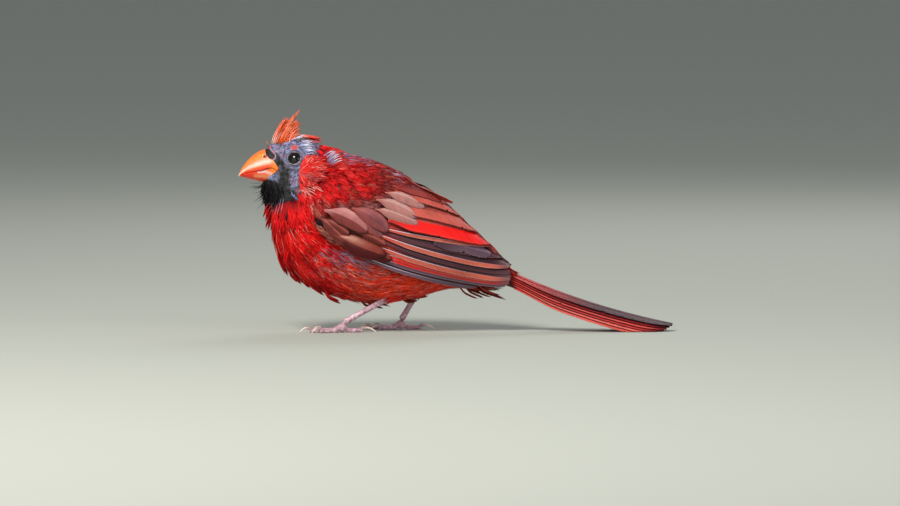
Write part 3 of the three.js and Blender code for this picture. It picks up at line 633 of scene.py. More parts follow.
def skin_colour(p):
    """The bare head: slate and lavender, black at the lores and throat, red at two spots."""
    x, z = p[..., 0], p[..., 2]
    pink = smooth((noise(p, 1.6, 8) - 0.55) / 0.2)
    front = smooth((-43.5 - x) / 3) * smooth((z - 80) / 3)
    ring = np.hypot(x - EYE["x"], z - EYE["z"])
    blots = 0.55 + 0.45 * smooth((noise(p, 1.2, 9) - 0.35) / 0.25)
    dark = near_line(x, z, LORES, 1.9, 1.5) * (0.25 + 0.75 * blots)
    dark = np.maximum(dark, near_line(x, z, GAPE_BLACK, 1.2, 1.2))
    dark = np.maximum(dark, 0.8 * near_line(x, z, CHIN_EDGE, 1.2, 1.6) * blots)
    dark = np.maximum(dark, throat_mask(p))
    return layered(SLATE, [
        (PALE_SLATE, smooth((noise(p, 1.0, 6) - 0.42) / 0.35) * 0.7),
        (rgb("b9b2cf"), smooth((noise(p, 0.5, 16) - 0.64) / 0.16) * 0.6),
        (DARK_SLATE, smooth((0.48 - noise(p, 1.7, 7)) / 0.2) * 0.8),
        (DARK_SLATE, smooth((0.34 - noise(p, 0.6, 17)) / 0.12) * 0.7),
        (rgb("9a5d74"), np.maximum(pink * 0.5, pink * front * 0.9)),
        # rings round the eye
        (rgb("989ac0"), ring_of(ring, 4.3, 0.6) * 0.4),
        (rgb("2d2838"), ring_of(ring, 3.6, 0.35) * 0.8),
        (rgb("3c3348"), ring_of(ring, 5.4, 0.4) * 0.45),
        (BLACK, np.clip(dark, 0, 1)),
        # the nostril and its rim, then two red spots
        (rgb("c79aa0"), near_line(x, z, NOSTRIL_PATCH, 1.9, 0.6) * 0.6),
        (rgb("150507"), near_line(x, z, NOSTRIL_PATCH, 1.2, 0.6)),
        (rgb("d4402c"), near_line(x, z, EYE_SPOT, 0.45, 0.6)),
        (rgb("c8382c"), near_line(x, z, FOREHEAD_SPOT, 0.3, 0.6)),
    ])


def bare_relief(p):
    """Pores, folds and the stubs of lost feathers, in millimetres."""
    x, z = p[..., 0], p[..., 2]
    h = 0.35 * (noise(p * [1, 1, 1.6], 1.5, 3) - 0.5) + 0.3 * (noise(p, 0.6, 4) - 0.5)
    pebbles = near_line(x, z, CHEEK_PATCH, 3.6, 1.5)
    h = h + pebbles * 0.45 * (noise(p, 0.8, 5) - 0.4)
    h = h - 0.7 * near_line(x, z, NOSTRIL_PATCH, 1.0, 0.9)
    return h


def lid_relief(p):
    """A ridge round each eye, a groove and a fold outside it, and the socket within."""
    h = np.zeros(p.shape[:-1])
    for side in (LEFT, RIGHT):
        surface, axis, _ = eye_frame(side)
        off = p - surface
        away = np.linalg.norm(off - (off @ axis)[..., None] * axis, axis=-1)
        near = (off @ axis > -4) & (away < 9)
        ridge = 0.4 * ring_of(away, LID["ridge"], 0.5)
        groove = -0.28 * ring_of(away, LID["groove"], 0.45)
        fold = 0.25 * ring_of(away, LID["fold"], 0.5)
        socket = -3.4 * smooth((LID["socket"] - away) / 0.6)
        h = h + np.where(near, ridge + groove + fold + socket, 0)
    return h


def skin():
    head_rows = np.linspace(0.0, HEAD_END, HEAD_ROWS)
    body_rows = np.linspace(HEAD_END, BODY_END, BODY_ROWS)[1:]
    t = np.concatenate([head_rows, body_rows])
    angle = np.arange(SKIN_COLUMNS) / SKIN_COLUMNS * TAU
    t, angle = np.meshgrid(t, angle, indexing="ij")
    p, normal, _, _ = body.lay(t, angle)
    cover = smooth((feathered(p) + 1) / 5)
    cover = np.maximum(cover, smooth((t - 0.36) / 0.04))
    h = -lerp(BARE_DEPTH, SKIN_DEPTH, cover) + (1 - cover) * bare_relief(p) + lid_relief(p)
    points = p + normal * h[..., None]
    under = mix(DEEP_RED, rgb("5d4b5e"), noise(p, 3, 10))
    colour = mix(skin_colour(p), under, cover)
    flat, faces = loft(points)
    colours = np.concatenate([colour.reshape(-1, 3), colour[0, :1], colour[-1, :1]])
    bake = np.stack([t, angle / TAU], -1).reshape(-1, 2)
    bake = np.concatenate([bake, [[0, 0.5], [1, 0.5]]])
    piece("skin", flat, faces, skin_finish, colours, corners(bake, faces, (0, 1)),
          ("head", "neck", "torso", "rump"))


skin()


# Eyes and lids

EYE_ROWS = 40
EYE_COLUMNS = 56
LID_BEADS = 30
ROWS_PER_BEAD = 6
LID_COLUMNS = 10


def eye_axes(axis):
    """The two directions across an eye."""
    across = unit(np.cross(axis, [0, 0, 1.0]))
    return across, np.cross(across, axis)


def eyeball(side):
    _, axis, centre = eye_frame(side)
    across, up = eye_axes(axis)
    lon = np.arange(EYE_COLUMNS) / EYE_COLUMNS * TAU
    r = EYE["radius"]
    rings = []
    for a in np.linspace(0, math.pi, EYE_ROWS)[1:-1]:
        bulge = 1 + 0.02 * max(math.cos(a), 0) ** 6
        spread = math.sin(a) * (np.cos(lon)[:, None] * across + np.sin(lon)[:, None] * up)
        rings.append(centre + r * (bulge * math.cos(a) * axis + spread))
    points, faces = loft(np.array(rings))
    # a black pupil, a dark brown iris, and black outside it
    open_ = (points - centre) @ axis / r
    colour = mix(rgb("1a0d08"), rgb("010102"), smooth((open_ - 0.8) / 0.08))
    colour = mix(rgb("050406"), colour, smooth((open_ - 0.66) / 0.08))
    bake = corners(ring_map(len(rings), EYE_COLUMNS), faces, (0, 1))
    name = f"eyeball_{SIDE_NAMES[side]}"
    piece(name, points, faces, eye_finish, colour, bake, (f"eye_{SIDE_NAMES[side]}",))


def lid(side):
    """The lid's rim, with its row of small beads."""
    surface, axis, _ = eye_frame(side)
    across, up = eye_axes(axis)
    rows = LID_BEADS * ROWS_PER_BEAD
    around = np.arange(rows) / rows * TAU
    section = np.arange(LID_COLUMNS) / LID_COLUMNS * TAU
    swell = 0.27 + 0.06 * np.cos(around * LID_BEADS) + 0.03 * np.cos(around * 3 + 1)
    radial = np.cos(around)[:, None] * across + np.sin(around)[:, None] * up
    squash = 1 - 0.06 * np.sin(around) ** 2
    middle = surface + radial * (LID["rim"] * squash)[:, None] + axis * 0.05
    rings = middle[:, None] + swell[:, None, None] * (
        np.cos(section)[None, :, None] * radial[:, None]
        + np.sin(section)[None, :, None] * axis
    )
    # the last ring joins the first
    seam = (rows - 1) * LID_COLUMNS
    j = np.arange(LID_COLUMNS)
    k = (j + 1) % LID_COLUMNS
    close = np.stack([seam + j, seam + k, k, j], -1)
    faces = [np.concatenate([grid_faces(rows, LID_COLUMNS, closed=True), close])]
    points = rings.reshape(-1, 3)
    colour = mix(rgb("a398a8"), rgb("5a5264"), smooth((noise(points, 0.45, 12) - 0.3) / 0.4))
    bake = np.stack([np.repeat(around / TAU, LID_COLUMNS), np.tile(section / TAU, rows)], -1)
    piece(f"lid_{SIDE_NAMES[side]}", points, faces, skin_finish, colour,
          corners(bake, faces, (1, 1)))


for side in (LEFT, RIGHT):
    eyeball(side)
    lid(side)


# Bill: two mandibles parted along the line of the mouth

MOUTH_LINE = [(-66.0, 72.6), (-62.6, 73.2), (-58.9, 74.7), (-55.0, 75.4), (-51.9, 75.7),
              (-49.3, 76.6), (-46.4, 76.9), (-44.1, 75.4), (-42.4, 73.3), (-36.0, 70.0)]
BILL_ROWS = 110
BILL_COLUMNS = 64
# Points across the flat inside of each mandible, its two edges among them
BILL_INNER = 12
# Half of the gap between the mandibles, in radians round the bill
MOUTH_SLIT = 0.012


def mouth_angle(t):
    """The angle at which each section of the bill crosses the line of the mouth."""
    line = catmull(MOUTH_LINE, np.linspace(0, 1, 400))
    back, belly, middle, _ = bill.section(t)
    found = []
    for b, l, m in zip(back, belly, middle):
        down = l - b
        side = down[0] * (line[:, 1] - b[1]) - down[1] * (line[:, 0] - b[0])
        cross = np.nonzero(np.sign(side[1:]) != np.sign(side[:-1]))[0]
        at = line[cross[0]] if len(cross) else line[0]
        reach = b - m
        up = np.clip((at - m) @ reach / (reach @ reach), -0.98, 0.98)
        found.append(math.acos(math.copysign(abs(up) ** (bill.power / 2), up)))
    return np.array(found)


def upper_bill_colour(x, z):
    """Painted pale highlight along the middle, orange above, red at the mouth, a dark nostril."""
    top = np.interp(x, [-62.6, -60.9, -57.6, -53.4, -48.8], [73.5, 77, 81.1, 84.4, 86])
    low = np.interp(x, [-62.6, -58.9, -55, -49.3, -46.4, -44],
                    [73.1, 74.7, 75.4, 76.6, 77, 75.6])
    drop = (top - z) / np.maximum(top - low, 0.6)
    return layered(rgb("fb7418"), [
        # painted highlight: a pale band along the middle of the upper mandible
        (rgb("fde3d3"), ring_of(drop, 0.62, 0.16) * 0.95),
        (rgb("fb9a4c"), ring_of(drop, 0.3, 0.2) * 0.6),
        (rgb("f8480c"), smooth((drop - 0.74) / 0.14) * 0.95),
        (rgb("d81a0c"), smooth((drop - 0.9) / 0.1) * smooth((x + 57) / 5) * 0.8),
        (rgb("fc8216"), smooth((x + 49) / 3.5) * 0.85),
        (rgb("8a1c10"), near_line(x, z, [NOSTRIL, (-50.3, 82.2)], 0.45, 0.35)),
    ])


def lower_bill_colour(x, z):
    """Red-orange, painted highlights of pink at the mouth and a lighter line along it, red below.
    """
    drop = (z - 69.8) / 6.2
    # painted highlights: pink along the mouth's edge, and a lighter line below it
    pink = near_line(x, z, [(-53.0, 75.1), (-50.0, 75.3), (-46.8, 74.2)], 0.2, 0.9)
    shine = near_line(x, z, [(-54.5, 73.2), (-49.0, 73.0), (-45.8, 71.8)], 0.3, 1.2)
    return layered(rgb("f03406"), [
        (rgb("fd7c0e"), smooth((x + 52) / 6)),
        (rgb("fccabf"), pink * 0.85),
        (rgb("fca06a"), shine * 0.7),
        (rgb("f98a22"), near_line(x, z, [(-44.4, 73.6), (-43.2, 70.4)], 0.7, 1.4)),
        (rgb("b41c10"), smooth((0.22 - drop) / 0.25) * 0.7),
    ])


def mandible(name, upper):
    t = np.linspace(0.0, 1.0, BILL_ROWS)
    part = mouth_angle(t)
    share = np.linspace(-1, 1, BILL_COLUMNS)
    if upper:
        angle = share[None] * (part - MOUTH_SLIT)[:, None]
    else:
        angle = math.pi + share[None] * (math.pi - part - MOUTH_SLIT)[:, None]
    t2 = np.broadcast_to(t[:, None], angle.shape)
    p, normal, _, _ = bill.lay(t2, angle)
    edge = np.abs(share)[None]
    # the horn thins where the skin covers it
    h = -1.8 * smooth((p[..., 0] - np.interp(p[..., 2], *HORN_EDGE) - 0.2) / 1.6)
    # the upper mandible's cutting edge stands a little over the lower one
    if upper:
        h = h + 0.16 * smooth((edge - 0.9) / 0.1)
        hole = np.hypot((p[..., 0] - NOSTRIL[0]) / 0.8, (p[..., 2] - NOSTRIL[1]) / 0.55)
        h = h - 0.6 * smooth((1.3 - hole) / 0.6) + 0.1 * ring_of(hole, 1.8, 0.4)
    else:
        h = h - 0.2 * smooth((edge - 0.86) / 0.14)
    h = h + 0.06 * (noise(p * [0.5, 1, 1.5], 1.4, 21) - 0.5)
    outer = p + normal * h[..., None]
    # the flat inside of the mandible closes each ring
    sag = 0.25 if upper else -0.25
    inner = []
    for s in np.linspace(1, -1, BILL_INNER)[1:-1]:
        point = lerp(outer[:, 0], outer[:, -1], (s + 1) / 2)
        inner.append(point + np.array([0, 0, sag]) * (1 - s * s))
    rings = np.concatenate([outer, np.stack(inner, 1)], 1)
    points, faces = loft(rings)
    x, z = points[:, 0], points[:, 2]
    colour = upper_bill_colour(x, z) if upper else lower_bill_colour(x, z)
    colour = mix(colour, rgb("fbeadb"), smooth((-61.4 - x) / 1.2) * 0.85)
    colour = colour * lerp(0.92, 1.06, noise(points * [0.4, 1, 2], 0.8, 22))[:, None]
    bake = corners(ring_map(*rings.shape[:2]), faces, (0, 1))
    piece(name + "_horn", points, faces, bill_finish, colour, bake, (name,))


mandible("bill_upper", True)
mandible("bill_lower", False)


def bill_collar():
    """The bare skin that runs forward over the root of the bill, up to the horn's edge."""
    rows, columns = 120, 170
    shares = np.linspace(0.42, 1.0, rows)
    t, angle = np.meshgrid(shares, np.arange(columns) / columns * TAU, indexing="ij")
    p, normal, _, _ = bill.lay(t, angle)
    inward = p[..., 0] - np.interp(p[..., 2], *HORN_EDGE)
    h = lerp(-0.9, 0.22, smooth((inward + 0.5) / 1.1)) - 0.9 * smooth((t - 0.86) / 0.14)
    h = h + bare_relief(p) * smooth(inward / 1.5)
    points, faces = loft(p + normal * h[..., None])
    colours = skin_colour(points)
    seam = smooth((0.7 - (points[:, 0] - np.interp(points[:, 2], *HORN_EDGE))) / 0.7)
    colours = mix(colours, rgb("b98088"), seam * 0.7)
    bake = corners(ring_map(rows, columns), faces, (0, 1))
    piece("bill_collar", points, faces, skin_finish, colours, bake)


bill_collar()


# The coat: tufts of blades that follow the lie of the feathers


def spread_points(form, count, t_range, seed):
    """Even places on a form, as section share and angle, weighted by its true area."""
    steps = np.array([0.8191725134, 0.6710436067, 0.5497004779])
    k = np.arange(count * 6)[:, None] + 1
    draws = (k * steps + 0.137 * seed) % 1
    t = lerp(*t_range, draws[:, 0])
    angle = draws[:, 1] * TAU
    _, _, along, round_ = form.lay(t, angle)
    area = np.linalg.norm(np.cross(along, round_), axis=-1)
    keep = draws[:, 2] < area / area.max()
    return t[keep][:count], angle[keep][:count]


class Look:
    """How a kind of tuft is made: lengths in millimetres, angles in radians.

    base and tip are the heights of its ends, loose and lift how far they vary."""

    def __init__(self, **values):
        self.blades = 8
        self.length = (8.0, 11.0)
        self.width = 3.2
        self.blade = 0.42
        self.base = -1.5
        self.tip = 0.25
        self.loose = 0.3
        self.turn = 0.1
        self.ridge = 0.25
        self.point = 0.75
        self.lift = 0.5
        self.__dict__.update(values)


# A blade's rings along it, and its width at each
BLADE_RINGS = np.array([0.0, 0.25, 0.5, 0.77, 1.0])
BLADE_WIDTHS = np.array([0.5, 0.9, 1.0, 0.7, 0.0])


def tuft_map(t, angle, share, u, aside):
    """Each tuft's small patch of the map, at the place of its root."""
    centre = np.stack([t, (angle / TAU) % 1], -1)
    centre = np.repeat(centre, share.shape[1], 0)[:, None]
    across = 0.2 * share.reshape(-1, 1) + 0.3 * aside
    off = np.stack(np.broadcast_arrays(u[None] - 0.5, across), -1)
    return np.clip(centre + PATCH * off, 0, 1)


def tufts(heap, form, t, angle, look, colour_of, seed, direction=None):
    """Adds tufts rooted at places on a form, lying along it or along given directions."""
    rng = np.random.default_rng(seed)
    n = len(t)
    if n == 0:
        return
    root, normal, along, round_ = form.lay(t, angle, look.base)
    per_t = 1 / np.linalg.norm(along, axis=-1)
    per_a = 1 / np.linalg.norm(round_, axis=-1)
    along, around = unit(along), unit(round_)
    yaw = rng.normal(0, look.turn, n) + 0.7 * (noise(root, 9.0, 70) - 0.5)
    if direction is not None:
        yaw = yaw + np.arctan2((direction * around).sum(-1), (direction * along).sum(-1))
    length = rng.uniform(*look.length, n)
    k = look.blades
    share = np.linspace(-1, 1, k)[None] + rng.uniform(-0.12, 0.12, (n, k))
    each = length[:, None] * (1 - 0.22 * share**2) * rng.uniform(0.82, 1.12, (n, k))
    u = BLADE_RINGS[None, None]
    ahead = each[..., None] * u
    leaf = smooth(u * 1.8) * (1 - look.point * u**1.5)
    sweep = rng.normal(0, 0.1, n)[:, None, None] * ahead * u
    aside = 0.5 * look.width * share[..., None] * leaf + sweep
    cos, sin = np.cos(yaw)[:, None, None], np.sin(yaw)[:, None, None]
    # sections fan out round the angle, so the across step is the surface's own
    t_at = t[:, None, None] + (ahead * cos - aside * sin) * per_t[:, None, None]
    a_at = angle[:, None, None] + (ahead * sin + aside * cos) * per_a[:, None, None]
    tip = look.tip + look.lift * (rng.uniform(0, 1, (n, 1, 1)) - 0.3)
    rise = lerp(look.base, tip, u**0.8)
    stray = rng.uniform(-look.loose, look.loose, (n, k))[..., None] * u
    line = form.point(np.clip(t_at, 0, 1), a_at, rise + stray)
    line = line.reshape(n * k, len(BLADE_RINGS), 3)
    normals = np.repeat(normal, k, 0)[:, None].repeat(len(BLADE_RINGS), 1)
    widths = look.blade * BLADE_WIDTHS[None]
    widths = widths * rng.uniform(0.75, 1.2, (n * k, 1))
    points, faces, u_at, aside_at = blades(line, normals, widths, look.ridge)
    colours = colour_of(root, np.repeat(np.arange(n), k), u_at, rng)
    heap.add(points, faces, colours.reshape(-1, 3), tuft_map(t, angle, share, u_at, aside_at))


# Patches of odd tufts: the nape, the flank, its pale side, the ridge of the back, the neck.
# Colour, line in the side view, radius, soft edge, how many of the tufts there, how strong
COAT_PATCHES = [
    (rgb("9a94b4"), [(-21, 82), (-14, 84)], 2.4, 2.5, 0.6, 0.8),
    (rgb("9388a8"), [(-28, 43.5), (-19, 40.5), (-10, 36.0)], 1.6, 1.6, 0.75, 0.8),
    (rgb("f0a49a"), [(-32, 39.0), (-18, 31.5), (-8, 30)], 3.0, 3.0, 0.35, 0.6),
    (rgb("c9a2b4"), [(-6, 80), (10, 74), (22, 66)], 2.6, 3.0, 0.3, 0.7),
    (ROSE, [(-32, 66.5), (-28, 65)], 2.2, 2.0, 0.6, 0.6),
]


def coat_reds(root, high, under, rng):
    """The body's reds: bright on breast and cheek, orange below, brown-red on the back."""
    x, z = root[:, 0], root[:, 2]
    n = len(root)
    mantle = smooth((high - 0.3) / 0.4) * smooth((x + 18) / 10)
    hips = mantle * smooth((x - 4) / 6) * smooth((30 - x) / 8)
    vent = smooth((x - 38) / 8) * smooth((32 - z) / 6)
    single = rng.uniform(0, 1, n)
    colour = layered(RED, [
        (BRIGHT_RED, smooth((noise(root, 7.0, 31) - 0.25) / 0.4)),
        (MANTLE, mantle * (0.45 + 0.4 * noise(root, 5, 32))),
        (ORANGE_RED, under * (0.45 + 0.55 * noise(root, 5.0, 33))),
        # darker along the very underside: partly deeper red feather bases, partly painted shade
        (DEEP_RED, smooth((-0.8 - high) / 0.2) * 0.55),
        (DEEP_RED, (single < 0.1) * 0.55),
        (ORANGE_RED, (single > 0.9) * 0.4),
    ])
    for odd, line, radius, soft, part, strength in COAT_PATCHES:
        chosen = rng.uniform(0, 1, n) < part
        colour = mix(colour, odd, near_line(x, z, line, radius, soft) * chosen * strength)
    return layered(colour, [
        (rgb("a8a0b8"), hips * (rng.uniform(0, 1, n) < 0.14) * 0.7),
        (rgb("5c2412"), vent * 0.75),
    ])


def coat_colour(root, tuft, u, rng):
    """Colours along the blades of each tuft: dark at the base with painted shade, some with pale
    tips.
    """
    x, z = root[:, 0], root[:, 2]
    n = len(root)
    back, _, middle, _ = body.section(body.share(x, z))
    high = (z - middle[:, 1]) / (back[:, 1] - middle[:, 1])
    under = smooth((0.05 - high) / 0.4) * smooth((x + 30) / 22)
    black = throat_mask(root)
    colour = mix(coat_reds(root, high, under, rng), BLACK, black)
    colour = colour * rng.uniform(0.6, 1.2, (n, 1))
    tips = colour[tuft][:, None] * rng.uniform(0.85, 1.15, (len(tuft), 1, 1))
    # painted shade: each blade's base is darkened where the tufts overlap, and a little greyed like
    # real feather bases
    base = mix(colour * 0.45, FEATHER_BASE, rng.uniform(0, 0.25, n) * (1 - black))
    base = base[tuft][:, None]
    pale = rng.uniform(0, 1, len(tuft)) < 0.05 + 0.15 * under[tuft]
    streak = pale[:, None, None] * (1 - black[tuft][:, None, None])
    tips = tips * (1 - streak * 0.6) + ROSE * streak * 0.6
    # the bases fade into the tips, and the tips are painted a little lighter as painted light on
    # each lock
    share = smooth((u - 0.08) / 0.36)[None, :, None]
    return base * (1 - share) + tips * share * (1 + 0.12 * smooth((u - 0.6) / 0.4))[None, :, None]


EAR_ROOT = (-34.2, 75.4)
WING_COVER = [(-20, 54), (-12, 45), (2, 37.5), (22, 29.5), (48, 23.5), (62, 24), (60, 40),
              (44, 50), (34, 56), (22, 59), (6, 60), (-8, 61), (-17, 58)]


def coat_direction(p, along):
    """The lie of the feathers: along the body, but fanned out from the cheek over the ear."""
    out = np.stack([p[:, 0] - EAR_ROOT[0] + 3, np.zeros(len(p)), p[:, 2] - EAR_ROOT[1]], -1)
    ear = near_line(p[:, 0], p[:, 2], [(-31, 77), (-22, 76)], 4.5, 4.0)
    ear = ear * smooth(np.abs(p[:, 1]) / 4 - 1)
    return unit(mix(unit(along), unit(out), ear * 0.9))


HEAD_LOOK = Look(length=(5.0, 7.5), width=2.4, blade=0.34, base=-0.9, tip=0.2)
LONG_LOOK = Look(length=(11.5, 17.0), width=2.6, blade=0.52, loose=0.36)
LOOSE_LOOK = Look(length=(9.0, 13.0), width=2.4, blade=0.3, tip=0.9, lift=1.2, blades=6, point=0.7)
# The coat's pieces: their sections from and to, whether they are low on the body, their tufts
COAT_PIECES = [
    ("coat_head", 0.0, 0.38, None, HEAD_LOOK),
    ("coat_breast", 0.38, 0.5, True, LONG_LOOK),
    ("coat_flank", 0.5, 0.6, True, LONG_LOOK),
    ("coat_belly", 0.6, 0.7, True, LONG_LOOK),
    ("coat_vent", 0.7, 1.0, True, Look(length=(7.5, 11.5))),
    ("coat_mantle", 0.38, 0.49, False, Look()),
    ("coat_rump", 0.6, 1.0, False, Look()),
    ("coat_back", 0.49, 0.6, False, Look()),
]
COAT_TUFTS = 8200
LOOSE_TUFTS = 620


def under_wing(p):
    """True where the folded wings hide the body."""
    return inside(p[:, 0], p[:, 2], WING_COVER) & (np.abs(p[:, 1]) > 4)


def body_coat():
    count = COAT_TUFTS
    t, angle = spread_points(body, count, (0.15, BODY_END - 0.012), 1)
    p, _, along, _ = body.lay(t, angle)
    keep = (feathered(p) > 0) & ~under_wing(p) & (p[:, 0] > -60) & (throat_mask(p) < 0.7)
    t, angle, p, along = t[keep], angle[keep], p[keep], along[keep]
    direction = coat_direction(p, along)
    lower = np.cos(angle) < 0.1
    for number, (name, first, last, low, look) in enumerate(COAT_PIECES):
        chosen = (t >= first) & (t < last)
        if low is not None:
            chosen &= lower == low
        heap = Heap()
        tufts(heap, body, t[chosen], angle[chosen], look, coat_colour, 100 + number,
              direction[chosen])
        heap.piece(name, plumage, "red_plumage")
    # a few longer ones stand off the breast and belly
    t, angle = spread_points(body, LOOSE_TUFTS, (0.3, 0.86), 9)
    p, _, along, _ = body.lay(t, angle)
    keep = (np.cos(angle) < -0.15) & (feathered(p) > 2) & (throat_mask(p) < 0.1)
    keep &= ~under_wing(p)
    heap = Heap()
    tufts(heap, body, t[keep], angle[keep], LOOSE_LOOK, coat_colour, 170, unit(along[keep]))
    heap.piece("coat_loose", plumage, "red_plumage")


body_coat()


# Feathers with a shaft: wings, tail and the stray one


def vane_outline(u, root, widest, round_):
    """How wide a feather is along it: its root's share, where it is widest, where it rounds."""
    swell = lerp(root, 1, smooth(u / widest))
    past = np.maximum((u - round_) / (1.01 - round_), 0)
    return swell * np.sqrt(np.maximum(1 - past**2, 0.02))


SHAFT_HALF = 0.1
SHAFT_HEIGHT = 0.16
VANE_THICK = 0.3


def feather(heap, place, outer, inner, rows, columns, seed, colour_of, ragged, outline, strip,
            length, dome):
    """A feather as a thin closed plate: place(u, wide, h) sets it on the bird.

    outer and inner are the widths of the webs either side of the shaft, outer at wide < 0.
    It has its own strip of the piece's map, given as its number and how many there are."""
    rng = np.random.default_rng(seed)
    us = np.linspace(0, 1, rows)
    side = np.linspace(0.0, 1.0, columns)[1:] ** 0.9
    vs = np.concatenate([-side[::-1], [-0.002, -0.001, 0, 0.001, 0.002], side])
    notch = rng.uniform(0, ragged, (2, rows)) * (0.3 + 0.7 * us**2)
    for at in rng.choice(np.arange(rows // 3, rows), 4):
        notch[rng.integers(2), at] += rng.uniform(0.1, 0.4) * min(ragged * 5, 1)
    shape = outline(us)

    def lay(u, v, h):
        cut = np.where(v < 0, notch[0][:, None], notch[1][:, None]) * np.abs(v) ** 3
        w = np.where(v < 0, outer, inner) * shape[:, None]
        # the columns by the shaft keep its width in millimetres
        by_shaft = np.abs(v) < 0.01
        near = np.sign(v) * SHAFT_HALF * np.where(np.abs(v) > 0.0015, 1.6, 1)
        far = np.sign(v) * (SHAFT_HALF * 1.6 + (w - SHAFT_HALF * 1.6) * np.abs(v)) * (1 - cut)
        wide = np.where(by_shaft, near, far)
        high = SHAFT_HEIGHT * (1 - 0.6 * u) * (v == 0)
        roof = dome * (0.5 - np.abs(v) ** 1.7) * smooth(u * 3) * (1 - 0.5 * u**3)
        return place(u, wide, h * (1 - 0.35 * u) + np.where(h > 0, high, 0) + roof)

    points, faces, u, v = plate(lay, us, vs, VANE_THICK)
    colours = np.tile(colour_of(u, v, rng).reshape(-1, 3), (2, 1))
    sideways = np.broadcast_to(np.linspace(0.04, 0.96, len(vs)), u.shape)
    bake = np.stack([0.01 + 0.98 * u, (strip[0] + sideways) / strip[1]], -1).reshape(-1, 2)
    wide = np.where(v < 0, outer, inner) * v
    lie = np.stack([u * length - np.abs(wide) * 1.1, wide, np.full(u.shape, seed * 3.7)], -1)
    lie = lie.reshape(-1, 3)
    heap.add(points, faces, colours, np.tile(bake, (2, 1)), np.tile(lie, (2, 1)))


def web_colours(outer, inner, rim, base, shaft, rim_width=0.2, mottle=0.2, base_share=0.25,
                tip=None, dark_centre_and_highlight=None, painted_rim_shade=None):
    """Colours across a vane: an outer web (v < 0), an inner web, a pale rim, a shaft."""
    outer, inner, rim, base, shaft = (rgb(text) for text in (outer, inner, rim, base, shaft))

    def colour_of(u, v, rng):
        offset = rng.uniform(0, 90)
        grain = noise(np.stack([u * 9, v * 1.2 + offset, u * 0], -1), 1.0, 41)
        fine = noise(np.stack([(u * 40 - np.abs(v) * 5), v * 0.6 + offset, u * 0], -1), 1.0, 42)
        colour = mix(outer, inner, (v > 0) * 1.0)
        # a spot of colour: a painted highlight on coverts A and C, a darker real centre on B
        if dark_centre_and_highlight is not None:
            place_u, place_v, share, spot_colour = dark_centre_and_highlight
            spot = np.exp(-(((u - place_u) / 0.28) ** 2) - ((v - place_v) / 0.35) ** 2)
            colour = mix(colour, rgb(spot_colour), spot * share)
        edge = smooth((np.abs(v) - (1 - rim_width)) / rim_width)
        colour = mix(colour, rim, np.where(v < 0, edge, edge * 0.5))
        colour = mix(colour, base, smooth((base_share - u) / base_share) * 0.8)
        if tip is not None:
            colour = mix(colour, rgb(tip), smooth((u - 0.84) / 0.16) * 0.85)
        # painted shade along the rim, where the next feather overlaps it or a gap opens
        if painted_rim_shade is not None:
            colour = mix(colour, rgb(painted_rim_shade), smooth((np.abs(v) - 0.9) / 0.08))
        colour = colour * (1 + mottle * (grain - 0.5) + mottle * (fine - 0.5))[..., None]
        near = np.abs(v) < 0.0015
        fade = lerp(1.0, 0.1, smooth(u * 1.15))
        return mix(colour * rng.uniform(0.92, 1.08), shaft, near * fade)

    return colour_of


# Wings. The left wing's feathers lie as in the photo, and the right wing's nearly the same.

# How steeply each feather leans over the one below it
SHINGLE = 0.24
WING_COLUMNS = 7
COVERT_DOME = 1.7
FLIGHT_DOME = 0.2
WEB_DARK = "3c2129"
SHAFT_PALE = "e6dcea"
SHAFT_TAN = "b98a7c"
REMEX = web_colours("c4604e", WEB_DARK, "d98c7c", "b83424", SHAFT_PALE, 0.3, tip="6e4a4a")
DARK_REMEX = web_colours("4e2a32", WEB_DARK, "8a5a58", "7a2a26", "6a4a58", 0.25, tip="5c3c40")
RED_REMEX = web_colours("c83028", WEB_DARK, "a87a80", "e02418", SHAFT_PALE, 0.25,
                        base_share=0.5, tip="6b4650")
LILAC_REMEX = web_colours("6e5364", WEB_DARK, "9a8390", "5a3a42", SHAFT_PALE, 0.3)
TORN_WEB = web_colours("5e4652", "7a6070", "94798a", WEB_DARK, "4a3440", 0.2, base_share=0.6)
# the tertials' dark rims are painted shade where they overlap
TERTIAL = web_colours("ee1d1a", "c4524a", "e6604c", "a02a26", "a83a34",
                      0.2, tip="a84a44", painted_rim_shade="5a1618")
PINK_TERTIAL = web_colours("c2584c", "a84a42", "d88478", "96403a",
                           "a05048", 0.15, painted_rim_shade="4f2226", tip="8c3e3c")
BACK_TERTIAL = web_colours("963a36", "6e2426", "a8524a", "8a2a28",
                           "7a3432", 0.2, painted_rim_shade="3c1418", tip="7a2e30")
# The coverts' spots are painted highlights on A and C and a darker centre on B; their dark rims are
# painted shade.
COVERT_A = web_colours("7c3634", "aa6664", "b87470", "c07c76", "7c3c3a",
                       0.14, dark_centre_and_highlight=(0.5, 0.75, 0.6, "cf9890"), painted_rim_shade="5a2a28")
COVERT_B = web_colours("8a4444", "a05a5a", "bc746e", "b8483c", "7c3c3c",
                       0.12, dark_centre_and_highlight=(0.75, 0.1, 0.75, "5c343c"), painted_rim_shade="4c2428")
COVERT_C = web_colours("4c0f10", "86342a", "6a1e1a", "a04c3c", "6e241e",
                       0.12, dark_centre_and_highlight=(0.22, 0.5, 0.6, "e2ab98"), tip="3c0c0e")
COVERT_D = web_colours("ae746e", "bf9089", "d6aaa2", "b0443c", "a87068",
                       0.18, painted_rim_shade="5c3034", tip="a4808a")
COVERT_SMALL = web_colours("6e2c28", "94493e", "a86250", "60201c", "7c3c34", 0.2)


def round_tip(u):
    return vane_outline(u, root=0.12, widest=0.4, round_=0.55)


def long_tip(u):
    return vane_outline(u, root=0.55, widest=0.25, round_=0.78)


